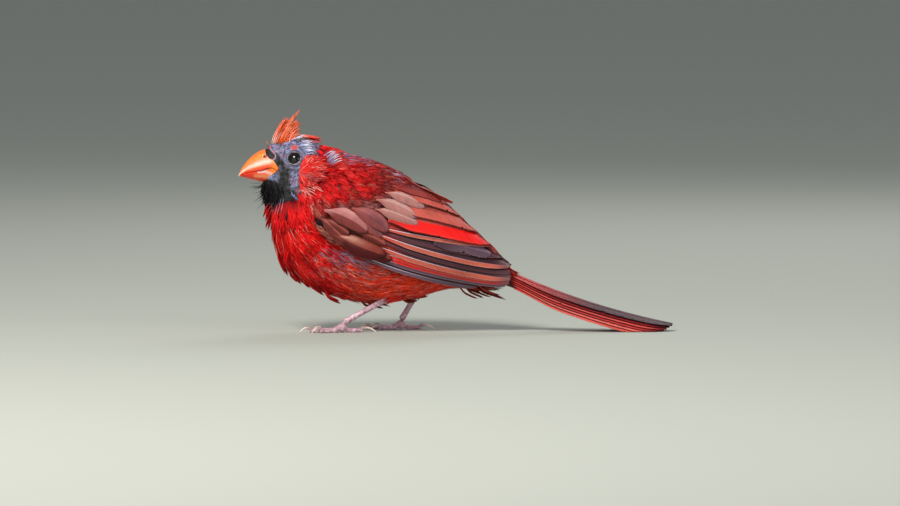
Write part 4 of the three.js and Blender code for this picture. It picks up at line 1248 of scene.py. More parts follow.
# outline, root, tip, outer and inner width, height over the shell, bow, ragged, colours
WING_FEATHERS = [
    # primaries, the lowest first
    (long_tip, (-4, 36.6), (49.3, 21.1), (1.5, 3.6), 0.0, -1.6, 0.06, LILAC_REMEX),
    (long_tip, (1, 36.8), (62.6, 21.9), (1.5, 3.4), 0.1, -1.8, 0.06, LILAC_REMEX),
    (long_tip, (2, 38.0), (64.4, 23.0), (1.7, 3.4), 0.22, -1.8, 0.06, RED_REMEX),
    (long_tip, (3, 39.2), (64.7, 24.1), (1.7, 3.6), 0.34, -1.8, 0.06, RED_REMEX),
    (long_tip, (3.4, 41.3), (65.0, 25.0), (2.2, 4.4), 0.5, -1.9, 0.05, REMEX),
    # secondaries
    (long_tip, (3.6, 44.0), (64.8, 27.2), (1.2, 3.4), 0.5, -1.8, 0.06, DARK_REMEX),
    (long_tip, (3.8, 46.8), (64.6, 30.2), (2.0, 5.8), 0.78, -1.6, 0.06, REMEX),
    (long_tip, (4.5, 48.0), (63.6, 34.4), (1.4, 4.6), 0.7, -1.2, 0.12, DARK_REMEX),
    (long_tip, (29.0, 43.0), (55.5, 36.0), (3.0, 2.6), 0.98, 0.6, 0.4, TORN_WEB),
    (long_tip, (6.0, 49.6), (60.3, 39.6), (1.5, 5.2), 1.0, -0.6, 0.06, REMEX),
    # tertials
    (long_tip, (8.0, 55.2), (58.6, 42.2), (5.4, 7.6), 1.15, 0.9, 0.05, TERTIAL),
    (long_tip, (12.0, 60.0), (53.5, 46.6), (4.2, 4.0), 1.35, 1.6, 0.08, PINK_TERTIAL),
    (long_tip, (14.0, 65.0), (44.8, 53.2), (3.2, 3.4), 1.5, 1.6, 0.16, PINK_TERTIAL),
    (long_tip, (12.0, 68.0), (38.0, 58.4), (2.6, 2.6), 1.5, 1.2, 0.16, BACK_TERTIAL),
    # primary coverts and the small ones before them
    (round_tip, (-5, 41.5), (9.4, 35.0), (2.8, 3.4), 1.1, -0.4, 0.05, COVERT_C),
    (round_tip, (-22, 50.6), (-9.5, 41.6), (2.8, 3.4), 1.3, 0.4, 0.08, COVERT_SMALL),
    (round_tip, (-7.0, 48.4), (6.5, 42.0), (2.2, 2.6), 1.5, 0.5, 0.04, COVERT_SMALL),
    (round_tip, (-16.5, 47.0), (6.6, 37.2), (4.4, 4.4), 2.1, -0.9, 0.03, COVERT_C),
    (round_tip, (-23.5, 54.4), (-14.0, 45.6), (2.6, 3.0), 1.7, 0.4, 0.1, COVERT_SMALL),
    (round_tip, (-21.0, 53.6), (-10.5, 47.0), (2.6, 3.2), 1.8, 0.4, 0.1, COVERT_SMALL),
    # greater coverts
    (round_tip, (1.5, 58.4), (21.2, 51.2), (3.0, 3.4), 1.45, 0.7, 0.14, COVERT_D),
    (round_tip, (-9.5, 57.4), (4.6, 45.6), (3.2, 3.6), 1.5, 1.0, 0.06, COVERT_B),
    (round_tip, (2.0, 62.6), (20.8, 54.6), (3.4, 3.6), 1.6, 1.0, 0.06, COVERT_D),
    (round_tip, (6.0, 65.6), (24.0, 58.4), (2.8, 3.4), 1.6, 1.0, 0.16, COVERT_D),
    (round_tip, (-9.0, 58.8), (7.6, 48.6), (3.9, 4.2), 2.1, 1.2, 0.03, COVERT_B),
    (round_tip, (-17.5, 55.4), (0.5, 46.8), (3.0, 3.0), 1.7, 0.8, 0.06, COVERT_SMALL),
    (round_tip, (-21.5, 57.8), (-2.0, 48.4), (4.0, 4.3), 2.9, 1.4, 0.03, COVERT_A),
]
# The strips of the wing's map: its feathers, the arm and the stray one
WING_STRIPS = len(WING_FEATHERS) + 2
RIDGE_LINE = shell.section(np.linspace(0, 1, 200))[0]
RIDGE = (RIDGE_LINE[:, 0], RIDGE_LINE[:, 1])


def wing_place(root, tip, height, sag, side):
    length, at = straight(root, tip)

    def place(u, wide, h):
        x, z = at(u, arc(sag, u) + wide)
        # over the ridge of the back a feather ends short of the middle
        z = np.minimum(z, np.interp(x, *RIDGE) - 0.5)
        p = shell.side_point(x, z, height - SHINGLE * wide + h, side)
        p[..., 1] = side * np.maximum(p[..., 1] * side, 0.5 + 0.2 * h)
        return p

    return place, length


def wing_feathers(heap, side):
    for number, entry in enumerate(WING_FEATHERS):
        outline, root, tip, (outer, inner), height, sag, ragged, colours = entry
        seed = 500 + number + (side > 0) * 1000
        drift = np.random.default_rng(seed).normal(0, 0.25, 2) * (side > 0)
        place, length = wing_place(root, np.array(tip) + drift, height, sag, side)
        rows = int(np.clip(length * 1.5, 30, 90))
        dome = COVERT_DOME if outline is round_tip else FLIGHT_DOME
        feather(heap, place, outer, inner, rows, WING_COLUMNS, seed, colours, ragged, outline,
                (number, WING_STRIPS), length, dome)


def stray_feather(heap):
    """One scapular of the left wing stands off the back."""
    length, at = straight([13, 71.4], [38, 60.8])

    def place(u, wide, h):
        x, z = at(u, arc(0.3, u) + 1.8 * (1 - smooth(u * 2.5)) + h + 0.4 * wide)
        return np.stack([x, -8.5 - 0.8 * wide, z], -1)

    colours = web_colours("a8403a", "8e3230", "d88a78", "8a2c2a", SHAFT_TAN, 0.3)
    feather(heap, place, 2.6, 2.4, 40, WING_COLUMNS, 77, colours, 0.12, long_tip,
            (WING_STRIPS - 1, WING_STRIPS), length, FLIGHT_DOME)


# The wing's arm: its lower and upper edge, and how it swells between them
ARM_LOWER = [(-26, 55), (-16, 42), (2, 35), (22, 27)]
ARM_UPPER = [(-24, 62), (-10, 74), (10, 71), (34, 54)]
ARM = {"edge": -1.2, "crown": 1.6, "fade": 0.6, "depth": 4.0}


def arm_surface(u, v, side, rise=0.0):
    low, high = catmull(ARM_LOWER, u), catmull(ARM_UPPER, u)
    flat = low + (high - low) * np.asarray(v)[..., None]
    rim = np.sqrt(np.maximum(4 * v * (1 - v), 0)) * smooth(u * 4 + 0.15)
    swell = lerp(ARM["edge"], ARM["crown"], rim * (1 - ARM["fade"] * u))
    return shell.side_point(flat[..., 0], flat[..., 1], swell - 0.5 + rise, side)


def arm(heap, side):
    def place(u, v, h):
        deep = np.where(h < 0, -ARM["depth"], 0.0)
        return arm_surface(u, (v + 1) / 2, side, deep)

    points, faces, u, v = plate(place, np.linspace(0, 1, 40), np.linspace(-1, 1, 24), 0.2)
    colour = mix(rgb("3a1014"), rgb("6c201c"), noise(points, 2.0, 51))
    bake = np.stack([u, (WING_STRIPS - 2 + 0.48 * (v + 1)) / WING_STRIPS], -1).reshape(-1, 2)
    heap.add(points, faces, colour, np.tile(bake, (2, 1)))


def shoulder_colour(root, tuft, u, rng):
    """Brown-red and tan at the wing's front edge, redder upwards, a painted shadow in the hollow.
    """
    x, z = root[:, 0], root[:, 2]
    n = len(root)
    low = smooth((68.5 + 0.12 * x - z) / 5) * smooth((z - 52) / 3) * smooth((x + 22) / 5)
    front = smooth((-16 - x) / 4) * smooth((58 - z) / 3)
    colour = layered(rgb("b82420"), [
        (rgb("903432"), noise(root, 4.0, 52)),
        (rgb("ea1214"), smooth((z - 60) / 6) * smooth((4 - x) / 14) * 0.85),
        (mix(rgb("7c2c2e"), rgb("b47470"), rng.uniform(0, 1, n)), low * 0.85),
        (mix(rgb("5c1c1a"), rgb("b87060"), rng.uniform(0, 1, n) ** 2), front * 0.85),
        (rgb("b8705c"), (rng.uniform(0, 1, n) < 0.15) * 0.5),
        (rgb("a294ac"), (rng.uniform(0, 1, n) < 0.2) * smooth(x / 8) * 0.7),
        (rgb("d8502c"), near_line(x, z, [(8, 69.5), (16, 66.5)], 2.0, 2.0) * 0.6),
        # painted shadow: near-black in the hollow at the wrist
        (rgb("12050a"), near_line(x, z, [(-27.2, 55.6), (-26.0, 54.0)], 1.6, 1.2)),
    ])
    colour = colour * rng.uniform(0.75, 1.15, (n, 1))
    tips = colour[tuft][:, None] * rng.uniform(0.9, 1.1, (len(tuft), 1, 1))
    # painted shade: each blade's base is darkened where the tufts overlap
    base = (colour * 0.45)[tuft][:, None]
    share = smooth((u - 0.1) / 0.35)[None, :, None]
    return base * (1 - share) + tips * share


SHOULDER_TUFTS = 5200
SHOULDER_EDGE = [
    (-29.5, 58), (-26, 50.5), (-19, 43.5), (-15.5, 44.5), (-20, 50.5), (-19.5, 56.5),
    (-13, 56.8), (-6, 58.5), (-1, 60.5), (4, 62.0), (12, 63.4), (20, 60.4), (27, 61.0),
    (20, 69), (10, 74.5), (0, 77.5), (-12, 77), (-21, 70),
]


def shoulder_tufts(side):
    """Soft feathers over the wing's front edge and the scapulars, down to the coverts."""
    heap = Heap()
    t, angle = spread_points(shell, SHOULDER_TUFTS, (0.26, 0.66), 5)
    p, _, _, _ = shell.lay(t, angle)
    keep = inside(p[:, 0], p[:, 2], SHOULDER_EDGE) & (p[:, 1] * side > 4)
    look = Look(length=(6.0, 9.0), width=2.8, blade=0.4, base=-0.2, tip=1.3)
    tufts(heap, shell, t[keep], angle[keep], look, shoulder_colour, 150 + side)
    heap.piece(f"coat_shoulder_{SIDE_NAMES[side]}", plumage, "wing_plumage")


def wings():
    for side in (LEFT, RIGHT):
        heap = Heap()
        arm(heap, side)
        wing_feathers(heap, side)
        if side == LEFT:
            stray_feather(heap)
        name = f"wing_{SIDE_NAMES[side]}"
        heap.piece(name + "_feathers", vane_finish, "wing_plumage", (name,))
        shoulder_tufts(side)


wings()


# Tail: rectrices stacked like a steep roof, the middle pair on top

TAIL_START = (50, 35.5)
TAIL_LENGTH = 97
# How steeply it falls at its start and at its end, in radians
TAIL_SLOPE = (0.47, 0.19)
TAIL_STEPS = 60
TAIL_PAIRS = 6
# The strips of the tail's map: its feathers, and the core inside its root
TAIL_STRIPS = 2 * TAIL_PAIRS + 1
TAIL_WIDTH = 9.5
TAIL_ROWS = 110
TAIL_COLUMNS = 8
TAIL_RAGGED = 0.07


def tail_outline(u):
    return vane_outline(u, root=0.5, widest=0.35, round_=0.8)


def tail_line(u):
    """Places along the tail's bent line, and its slope there."""
    share = (np.arange(TAIL_STEPS) + 0.5) / TAIL_STEPS
    slope = lerp(*TAIL_SLOPE, u[..., None] * share)
    stride = TAIL_LENGTH * u / TAIL_STEPS
    x = TAIL_START[0] + np.cos(slope).sum(-1) * stride
    z = TAIL_START[1] - np.sin(slope).sum(-1) * stride
    return x, z, lerp(*TAIL_SLOPE, u)


def tail_point(u, rise, y):
    x, z, slope = tail_line(u)
    return np.stack([x + np.sin(slope) * rise, y, z + np.cos(slope) * rise], -1)


def rectrix_place(k, side):
    """Sets a feather of pair k, counted from the middle, on its side of the roof."""
    start, end = 0.16 + 0.012 * k, 1 - 0.012 * k
    level = 0.2 + 0.1 * (TAIL_PAIRS - 1 - k)

    def place(u, wide, h):
        roll = lerp(0.45, 0.35, u) + 0.09 * k
        apart = lerp(2.0, 1.5, u) + k * lerp(0.35, 0.95, u)
        drop = k * lerp(0.78, 0.95, u) + 1.0
        inner = (apart - 0.2) / np.cos(roll)
        wide = np.maximum(-wide, -inner)
        rise = -drop - wide * np.sin(roll) + h * np.cos(roll)
        out = apart + wide * np.cos(roll) + h * np.sin(roll)
        p = tail_point(lerp(start, end, u), rise, side * out)
        # the tips rest on the floor, one on another
        low = level + h * 0.3 - p[..., 2]
        p[..., 2] += 0.5 * (low + np.sqrt(low**2 + 0.06)) * (low > -1.5)
        return p

    return place


# their dark rims are painted shade in the gaps between the feathers
TAIL_COLOURS = [
    web_colours("3c0c1a", "4a1020", "6c1a26", "d24038", "2c0812", 0.12,
                base_share=0.6, tip="220810", painted_rim_shade="16060a"),
    web_colours("741420", "340c18", "a83232", "c8342e", "320c14", 0.3,
                base_share=0.5, tip="2a0810", painted_rim_shade="10050a"),
    web_colours("d83c38", "5a1c24", "f0766a", "d2382e", "6a181a", 0.3,
                tip="4c161e", painted_rim_shade="18060a"),
    web_colours("a8262a", "4a161e", "d8504a", "c0302a", "4c1216", 0.25,
                tip="3c1018", painted_rim_shade="12050a"),
    web_colours("e04a42", "5a1c24", "f88c80", "d2382e", "7a1c1c", 0.35,
                tip="541820", painted_rim_shade="20080c"),
    web_colours("c83834", "5a1c24", "e86a5e", "b82c26", "6a181a", 0.3, tip="4c161e"),
]


def tail_core(heap):
    """The soft body that fills the roof at its root."""
    rows, columns = 16, 20
    share = np.linspace(0, 1, rows)[:, None]
    a = np.arange(columns)[None] / columns * TAU
    u, a = np.broadcast_arrays(lerp(0.12, 0.42, share), a)
    grow = lerp(1, 0.35, share)
    points, faces = loft(tail_point(u, 3.4 * grow * np.cos(a) - 4.2, 4.2 * grow * np.sin(a)))
    low = (TAIL_STRIPS - 0.96) / TAIL_STRIPS
    heap.add(points, faces, rgb("5a1a18"), ring_map(rows, columns, low), period=(0, 1 - low))


def tail():
    heap = Heap()
    for k in range(TAIL_PAIRS):
        for side in (LEFT, RIGHT):
            number = 2 * k + (side > 0)
            feather(heap, rectrix_place(k, side), TAIL_WIDTH / 2, TAIL_WIDTH / 2, TAIL_ROWS,
                    TAIL_COLUMNS, 900 + number, TAIL_COLOURS[k], TAIL_RAGGED, tail_outline,
                    (number, TAIL_STRIPS), TAIL_LENGTH, FLIGHT_DOME)
    tail_core(heap)
    heap.piece("tail_feathers", vane_finish, "tail_plumage", ("tail",))


tail()


# Strands, and the loose locks that stand off the outline


def strands(heap, lines, width, colours, taper=0.5, ridge=0.35, flat_to=(0, 1, 0)):
    """Blades along lines, with colours given at each line's root and tip."""
    n, rings, _ = lines.shape
    normals = np.broadcast_to(np.array(flat_to, float), lines.shape)
    profile = np.sin(np.pi * np.clip(np.linspace(0.12, 1, rings), 0, 1)) ** taper
    widths = np.asarray(width).reshape(-1, 1) * profile[None]
    points, faces, u_at, aside = blades(lines, normals, widths * np.ones((n, 1)), ridge)
    near, far = (np.broadcast_to(c, (n, 3))[:, None] for c in colours)
    share = smooth((u_at - 0.1) / 0.5)[None, :, None]
    shade = near * (1 - share) + far * share
    off = np.stack([u_at - 0.5, aside * 0.5], -1)
    bake = np.clip(body.place_on_map(lines[:, 0])[:, None] + PATCH * off, 0, 1)
    heap.add(points, faces, shade.reshape(-1, 3), bake)


LOOSE_FEATHERS = [
    # root, tip, y, width, bow
    ([-46.6, 60.5], [-50.2, 47.2], -1.5, 3.6, 0.4),
    ([-45.8, 59.0], [-48.0, 46.6], 3.2, 3.4, 0.4),
    ([-44.8, 42.5], [-38.6, 25.4], -1.0, 4.6, -1.6),
    ([-42.5, 40.0], [-37.0, 26.5], 5.0, 4.4, -0.8),
    ([-41.0, 36.5], [-34.2, 23.2], -6.5, 4.4, -0.8),
    ([-38.5, 31.0], [-28.6, 19.6], 0.5, 4.8, -0.9),
    ([-32.0, 25.5], [-20.9, 16.6], -3.5, 4.6, -0.7),
    ([-30.0, 25.0], [-19.0, 17.0], 4.6, 4.6, -0.6),
    ([-22.0, 19.8], [-10.0, 14.0], 0.0, 4.8, -0.5),
    ([-6.0, 15.4], [10.0, 11.6], 1.0, 4.4, -0.2),
    ([12.0, 15.6], [28.4, 16.6], -1.5, 4.4, -0.8),
    ([40.0, 22.4], [53.6, 16.4], -1.2, 4.4, -0.4),
    ([47.0, 21.0], [63.8, 14.6], 0.8, 4.2, -0.6),
]


def loose_lines(root, tip, y, width, bow, count, rng):
    """Lines of one loose lock: they leave the coat together and draw in to its tip."""
    _, at = straight(root, tip)
    v = rng.uniform(-1, 1, (count, 1))
    end = rng.uniform(0.75, 1.0, (count, 1)) * (1 - 0.2 * v**2)
    u = np.linspace(0, 1, 7)[None] * end
    rise = arc(bow, u) + 1.8 * (1 - smooth(u * 2.5)) + rng.normal(0, 0.22, (count, 1)) * u
    x, z = at(u, rise)
    side = y + 0.5 * width * v * (1 - 0.85 * u**1.5) + rng.normal(0, 0.3, (count, 1)) * u
    return np.stack([x, side, z], -1)


# Each long lock has shorter neighbours round the body
LOCKS_PER_FEATHER = 7


def wisps():
    heap = Heap()
    rng = np.random.default_rng(7)
    for root, tip, y, width, bow in LOOSE_FEATHERS:
        for k in range(LOCKS_PER_FEATHER):
            shift = rng.normal(0, [1.6, 3.6, 1.6]) * (k > 0)
            scale = 1 if k == 0 else rng.uniform(0.55, 0.9)
            start = np.array(root) + shift[[0, 2]]
            end = start + (np.array(tip) - np.array(root)) * scale
            lines = loose_lines(start, end, y + shift[1], width * 0.8, bow * 0.6, 9, rng)
            if tip[1] > 30:
                near, far = rgb("6a3a2a"), rgb("b81418")
            elif tip[0] < 0:
                near, far = RED, rgb("c01014")
            else:
                near, far = rgb("b0403a"), rgb("7a2414")
            strands(heap, lines, 0.75, (near, far), ridge=0.2)
    heap.piece("coat_wisps", plumage, "red_plumage")


wisps()


# Crest: bundles of orange strands on a low mound, and feathers that arch over the crown

CREST_MOUND = {"centre": (-42.4, 0, 88.1), "radii": (4.2, 2.1, 1.3)}
# Tip, place across the crown and width of each feather that arches over it
CROWN_FEATHERS = [
    ([-24.0, 89.9], -2.2, 2.2),
    ([-22.9, 89.7], 0.4, 2.4),
    ([-24.6, 90.1], 2.6, 2.2),
    ([-27.0, 90.6], 1.5, 2.0),
    ([-27.5, 90.4], -1.0, 2.0),
]


def bezier(a, b, c, u):
    """A bent line from a to c that heads for b on the way."""
    a, b, c = (np.asarray(v, float)[:, None] for v in (a, b, c))
    u = u[..., None]
    return a * (1 - u) ** 2 + 2 * b * u * (1 - u) + c * u**2


# Strands for each one counted in the bundles below
CREST_FULL = 1.7
SOFT_VANES = 9
# Bundles of the crest: base, the point it bows towards, tip, spread of the base, strands
CREST_BUNDLES = [
    ((-46.2, 88.6), (-44.6, 94.5), (-39.4, 100.9), 1.0, 34),
    ((-45.0, 88.8), (-42.6, 95.0), (-38.8, 100.2), 1.2, 46),
    ((-43.6, 88.8), (-41.0, 96.0), (-33.3, 104.4), 1.2, 50),
    ((-42.8, 88.8), (-40.2, 95.4), (-35.2, 101.2), 1.3, 40),
    ((-41.6, 89.0), (-39.6, 94.6), (-34.2, 99.4), 1.4, 46),
    ((-40.8, 89.0), (-38.6, 94.8), (-32.6, 98.0), 1.4, 50),
    ((-40.0, 89.0), (-38.2, 93.4), (-33.4, 95.6), 1.3, 40),
    ((-39.2, 89.0), (-37.4, 92.0), (-33.6, 93.6), 1.2, 34),
    ((-38.6, 89.0), (-37.4, 90.8), (-35.0, 91.8), 1.0, 22),
]


def bundle(heap, rng, base, bow, tip, spread, number):
    """Fine strands from a base to a tip, with broader soft vanes among them."""
    count = int(number * CREST_FULL)
    y = rng.uniform(-0.9, 0.9)
    root = np.stack([base[0] + rng.normal(0, spread * 0.6, count),
                     rng.normal(0, 1.0, count),
                     base[1] - 0.6 + rng.uniform(-0.3, 0.3, count)], -1)
    knee = np.stack([bow[0] + rng.normal(0, 0.8, count), y + rng.normal(0, 0.9, count),
                     bow[1] + rng.normal(0, 0.6, count)], -1)
    end = np.stack([tip[0] + rng.normal(0, 0.35, count), y * 1.5 + rng.normal(0, 0.3, count),
                    tip[1] + rng.normal(0, 0.35, count)], -1)
    last = rng.uniform(0.6, 1.0, (count, 1))
    lines = bezier(root, knee, end, np.linspace(0, 1, 8)[None] * last)
    shade = rng.uniform(0, 1, (count, 1))
    far = lerp(rgb("fa4e1c"), rgb("ffa880"), shade)
    pale = (rng.uniform(0, 1, (count, 1)) < np.clip((-43 - base[0]) / 4, 0.06, 0.7)) * 1.0
    near = lerp(rgb("fc6828"), rgb("f4e4e2"), pale)
    strands(heap, lines, rng.uniform(0.24, 0.42, count), (near, far))
    # the soft vanes close the gaps between the strands
    count = SOFT_VANES
    root = np.stack([base[0] + rng.normal(0, spread * 0.5, count), rng.normal(0, 0.4, count),
                     np.full(count, base[1] - 0.6)], -1)
    knee = [bow[0], 0, bow[1]] + rng.normal(0, [0.5, 0.3, 0.5], (count, 3))
    knee[:, 1] = 0.6 * y + rng.normal(0, 0.3, count)
    end = [tip[0], 0, tip[1]] + rng.normal(0, [0.4, 0.2, 0.4], (count, 3))
    end[:, 1] = y + rng.normal(0, 0.2, count)
    last = rng.uniform(0.55, 0.95, (count, 1))
    lines = bezier(root, knee, end, np.linspace(0, 1, 8)[None] * last)
    shade = lerp(rgb("f2481c"), rgb("ff7a48"), rng.uniform(0, 1, (count, 1)))
    strands(heap, lines, rng.uniform(0.9, 1.5, count), (shade, shade), ridge=0.08)


def crown(heap, rng):
    """Pale quills that arch back over the crown, each with a red tuft at its end."""
    for tip, y, width in CROWN_FEATHERS:
        for kind, count in (("quill", 5), ("web", 30)):
            spread = rng.uniform(-1, 1, count) * (0.5 if kind == "quill" else 0.6) * width
            root = np.stack([rng.uniform(-40, -37.6, count), 0.5 * y + 0.5 * spread,
                             np.full(count, 88.6)], -1)
            knee = np.stack([rng.normal(-33.6, 0.5, count), 0.9 * y + 0.9 * spread,
                             rng.normal(93.2, 0.5, count)], -1)
            end = np.stack([tip[0] + rng.normal(0, 0.5, count), y + spread,
                            tip[1] + rng.normal(0, 0.35, count)], -1)
            low, high = (0.0, 0.72) if kind == "quill" else (0.5, 1.0)
            last = rng.uniform(high - 0.12, high, (count, 1))
            lines = bezier(root, knee, end, lerp(low, last, np.linspace(0, 1, 8)[None]))
            if kind == "quill":
                strands(heap, lines, 0.42, (QUILL_BLUE, QUILL), flat_to=(0, 0, 1), taper=0.2)
            else:
                shades = lerp(rgb("e01a14"), rgb("f4583c"), rng.uniform(0, 1, (count, 1)))
                strands(heap, lines, 0.36, (rgb("e0a09c"), shades), flat_to=(0, 0, 1))


def crest():
    heap = Heap()
    rng = np.random.default_rng(11)
    for entry in CREST_BUNDLES:
        bundle(heap, rng, *entry)
    crown(heap, rng)
    rings = mound(CREST_MOUND["centre"], CREST_MOUND["radii"], 18, 28)
    points, faces = loft(rings)
    colours = mix(rgb("5a3a4c"), rgb("8a4a50"), noise(points, 0.8, 13))
    heap.add(points, faces, colours, ring_map(*rings.shape[:2], 0.3, 0.7), period=(0, 0.4))
    heap.piece("crest_feathers", plumage, "crest_plumage", ("crest",))


crest()


# Small feathers, laid out one by one: ear coverts, quills of the moult, bristles and thighs

# Each leg: where it leaves the body, where its toes meet and how far its foot is turned.
# The thighs' feathers need it before the legs do.
LEGS = {
    "left": dict(side=LEFT, hip=[13, -8.5, 19], foot=[-14, -10.5, 4.2], turn=0.06),
    "right": dict(side=RIGHT, hip=[24, 8.5, 22], foot=[13.5, 10.5, 4.2], turn=-0.04),
}
# How far the ear's feathers reach, in millimetres, against the angle in degrees
EAR_REACH = ([-75, -50, -30, -8, 10, 30, 45, 62, 80],
             [6.5, 9.5, 12.5, 15.5, 15, 14, 12, 9.5, 6.5])


def ear_coverts(heap, side, rng):
    """Fine feathers fanned out over the ear, with a darker loop below."""
    count = 620
    degrees = rng.uniform(-72, 74, count)
    reach = np.interp(degrees, *EAR_REACH) * rng.uniform(0.92, 1.06, count)
    start = rng.uniform(0.0, 0.62, count) ** 1.2
    length = rng.uniform(5.0, 7.5, count)
    u = np.linspace(0, 1, 7)[None]
    away = reach[:, None] * start[:, None] + length[:, None] * u
    away = np.minimum(away, reach[:, None] * lerp(0.96, 1.04, u))
    turn = np.radians(degrees)[:, None] - 0.018 * away * np.sign(degrees + 5)[:, None]
    x = EAR_ROOT[0] + away * np.cos(turn)
    z = EAR_ROOT[1] + away * np.sin(turn)
    h = -0.4 + 1.7 * u * (1 - 0.25 * u) + rng.normal(0, 0.18, (count, 1)) * u
    lines = body.side_point(x, z, h, side)
    kind = rng.uniform(0, 1, count)
    loop = (degrees < -4) & (degrees > -48)
    far = layered(rgb("ee1418"), [
        (rgb("f84a3e"), rng.uniform(0, 1, count)),
        (rgb("f6b0a4"), (kind < 0.16) * 0.75),
        (rgb("b8585a"), loop * (kind > 0.5) * 0.8),
        (rgb("5e1a22"), loop * (kind < 0.3) * 0.8),
    ])
    near = mix(far, rgb("c03030"), 0.5 * np.ones(count))
    strands(heap, lines, rng.uniform(0.3, 0.46, count), (near, far), flat_to=(0, side, 0))


def quills(heap, side, rng, roots, tips, count, heights, width, colours, jitter=0.3, bow=0.5):
    """Quills over the side of the head, from a line of roots to a line of tips."""
    shares = np.linspace(0, 1, count)
    starts, ends = catmull(roots, shares), catmull(tips, shares)
    starts = starts + rng.normal(0, jitter, starts.shape)
    ends = ends + rng.normal(0, jitter, ends.shape)
    u = np.linspace(0, 1, 7)[None] * rng.uniform(1 - jitter * 0.45, 1 + jitter * 0.1, (count, 1))
    x = lerp(starts[:, :1], ends[:, :1], u)
    z = lerp(starts[:, 1:], ends[:, 1:], u) + arc(bow, u)
    lines = body.side_point(x, z, lerp(*heights, smooth(u)) + 0 * x, side)
    strands(heap, lines, width * rng.uniform(0.8, 1.2, count), colours, flat_to=(0, side, 0),
            taper=0.25)


# Root, tip and number of the longer bristles by the bill and below the chin
LONG_BRISTLES = [
    ((-48.8, 68.6), (-57.6, 67.0), 26), ((-49.6, 66.0), (-54.6, 61.4), 26),
    ((-49.8, 63.0), (-52.6, 58.0), 22), ((-47.6, 70.0), (-54.5, 69.2), 16),
]


def bristles(heap, rng):
    """Black feathers of the chin and throat, with bristles that stand out in front."""
    count = 950
    t = rng.uniform(0.0, 0.26, count)
    angle = rng.uniform(0.42, 1.58, count) * math.pi
    p, normal, ahead, _ = body.lay(t, angle)
    keep = (throat_mask(p) > 0.25) & (p[:, 2] < 72)
    p, normal, ahead = p[keep], normal[keep], unit(ahead[keep])
    n = len(p)
    down = unit(ahead * 0.7 + np.array([-0.25, 0, -0.75]) + rng.normal(0, 0.22, (n, 3)))
    length = rng.uniform(2.6, 5.2, (n, 1, 1))
    u = np.linspace(0, 1, 6)[None, :, None]
    lines = p[:, None] + down[:, None] * length * u + normal[:, None] * (0.75 * u - 0.3)
    strands(heap, lines, 0.3, (BLACK, rgb("141016")))
    for root, tip, number in LONG_BRISTLES:
        start = np.stack([root[0] + rng.uniform(0, 3.5, number), rng.uniform(-3.2, 3.2, number),
                          root[1] + rng.normal(0, 0.9, number)], -1)
        share = rng.uniform(0.35, 1.0, (number, 1))
        end = np.array([tip[0], 0, tip[1]]) + rng.normal(0, 1.1, (number, 3))
        end[:, 1] = start[:, 1] * 1.3
        end = start + (end - start) * share
        knee = (start + end) / 2 + np.array([0, 0, 0.5])
        lines = bezier(start, knee, end, np.linspace(0, 1, 6)[None] * np.ones((number, 1)))
        strands(heap, lines, 0.17, (BLACK, rgb("17131a")))


def thighs(heap, rng):
    """Short feathers that close round the top of each leg."""
    for leg in LEGS.values():
        hip, foot = np.array(leg["hip"], float), np.array(leg["foot"], float)
        ahead = unit(foot - hip)
        count = 90
        a = rng.uniform(0, TAU, count)
        side = unit(np.cross(ahead, [0, 1.0, 0]))
        up = np.cross(side, ahead)
        around = np.cos(a)[:, None] * side + np.sin(a)[:, None] * up
        start = hip + around * rng.uniform(2.4, 3.4, (count, 1)) - ahead * 3.0
        end = hip + ahead * rng.uniform(4.0, 9.5, (count, 1))
        end = end + around * rng.uniform(1.5, 2.5, (count, 1))
        knee = (start + end) / 2 + around * 0.9
        lines = bezier(start, knee, end, np.linspace(0, 1, 6)[None] * np.ones((count, 1)))
        shade = lerp(rgb("a80f14"), rgb("e8301e"), rng.uniform(0, 1, (count, 1)))
        strands(heap, lines, 0.42, (DEEP_RED, shade), flat_to=(0, leg["side"], 0))


def forehead_bristle(heap):
    """The one stiff bristle that stands up over the root of the bill."""
    line = bezier([(-48.6, 0.4, 86.4)], [(-49.4, 0.6, 88.0)], [(-49.1, 0.9, 89.9)],
                  np.linspace(0, 1, 7)[None])
    strands(heap, line, 0.35, (BLACK, rgb("d89a5a")))


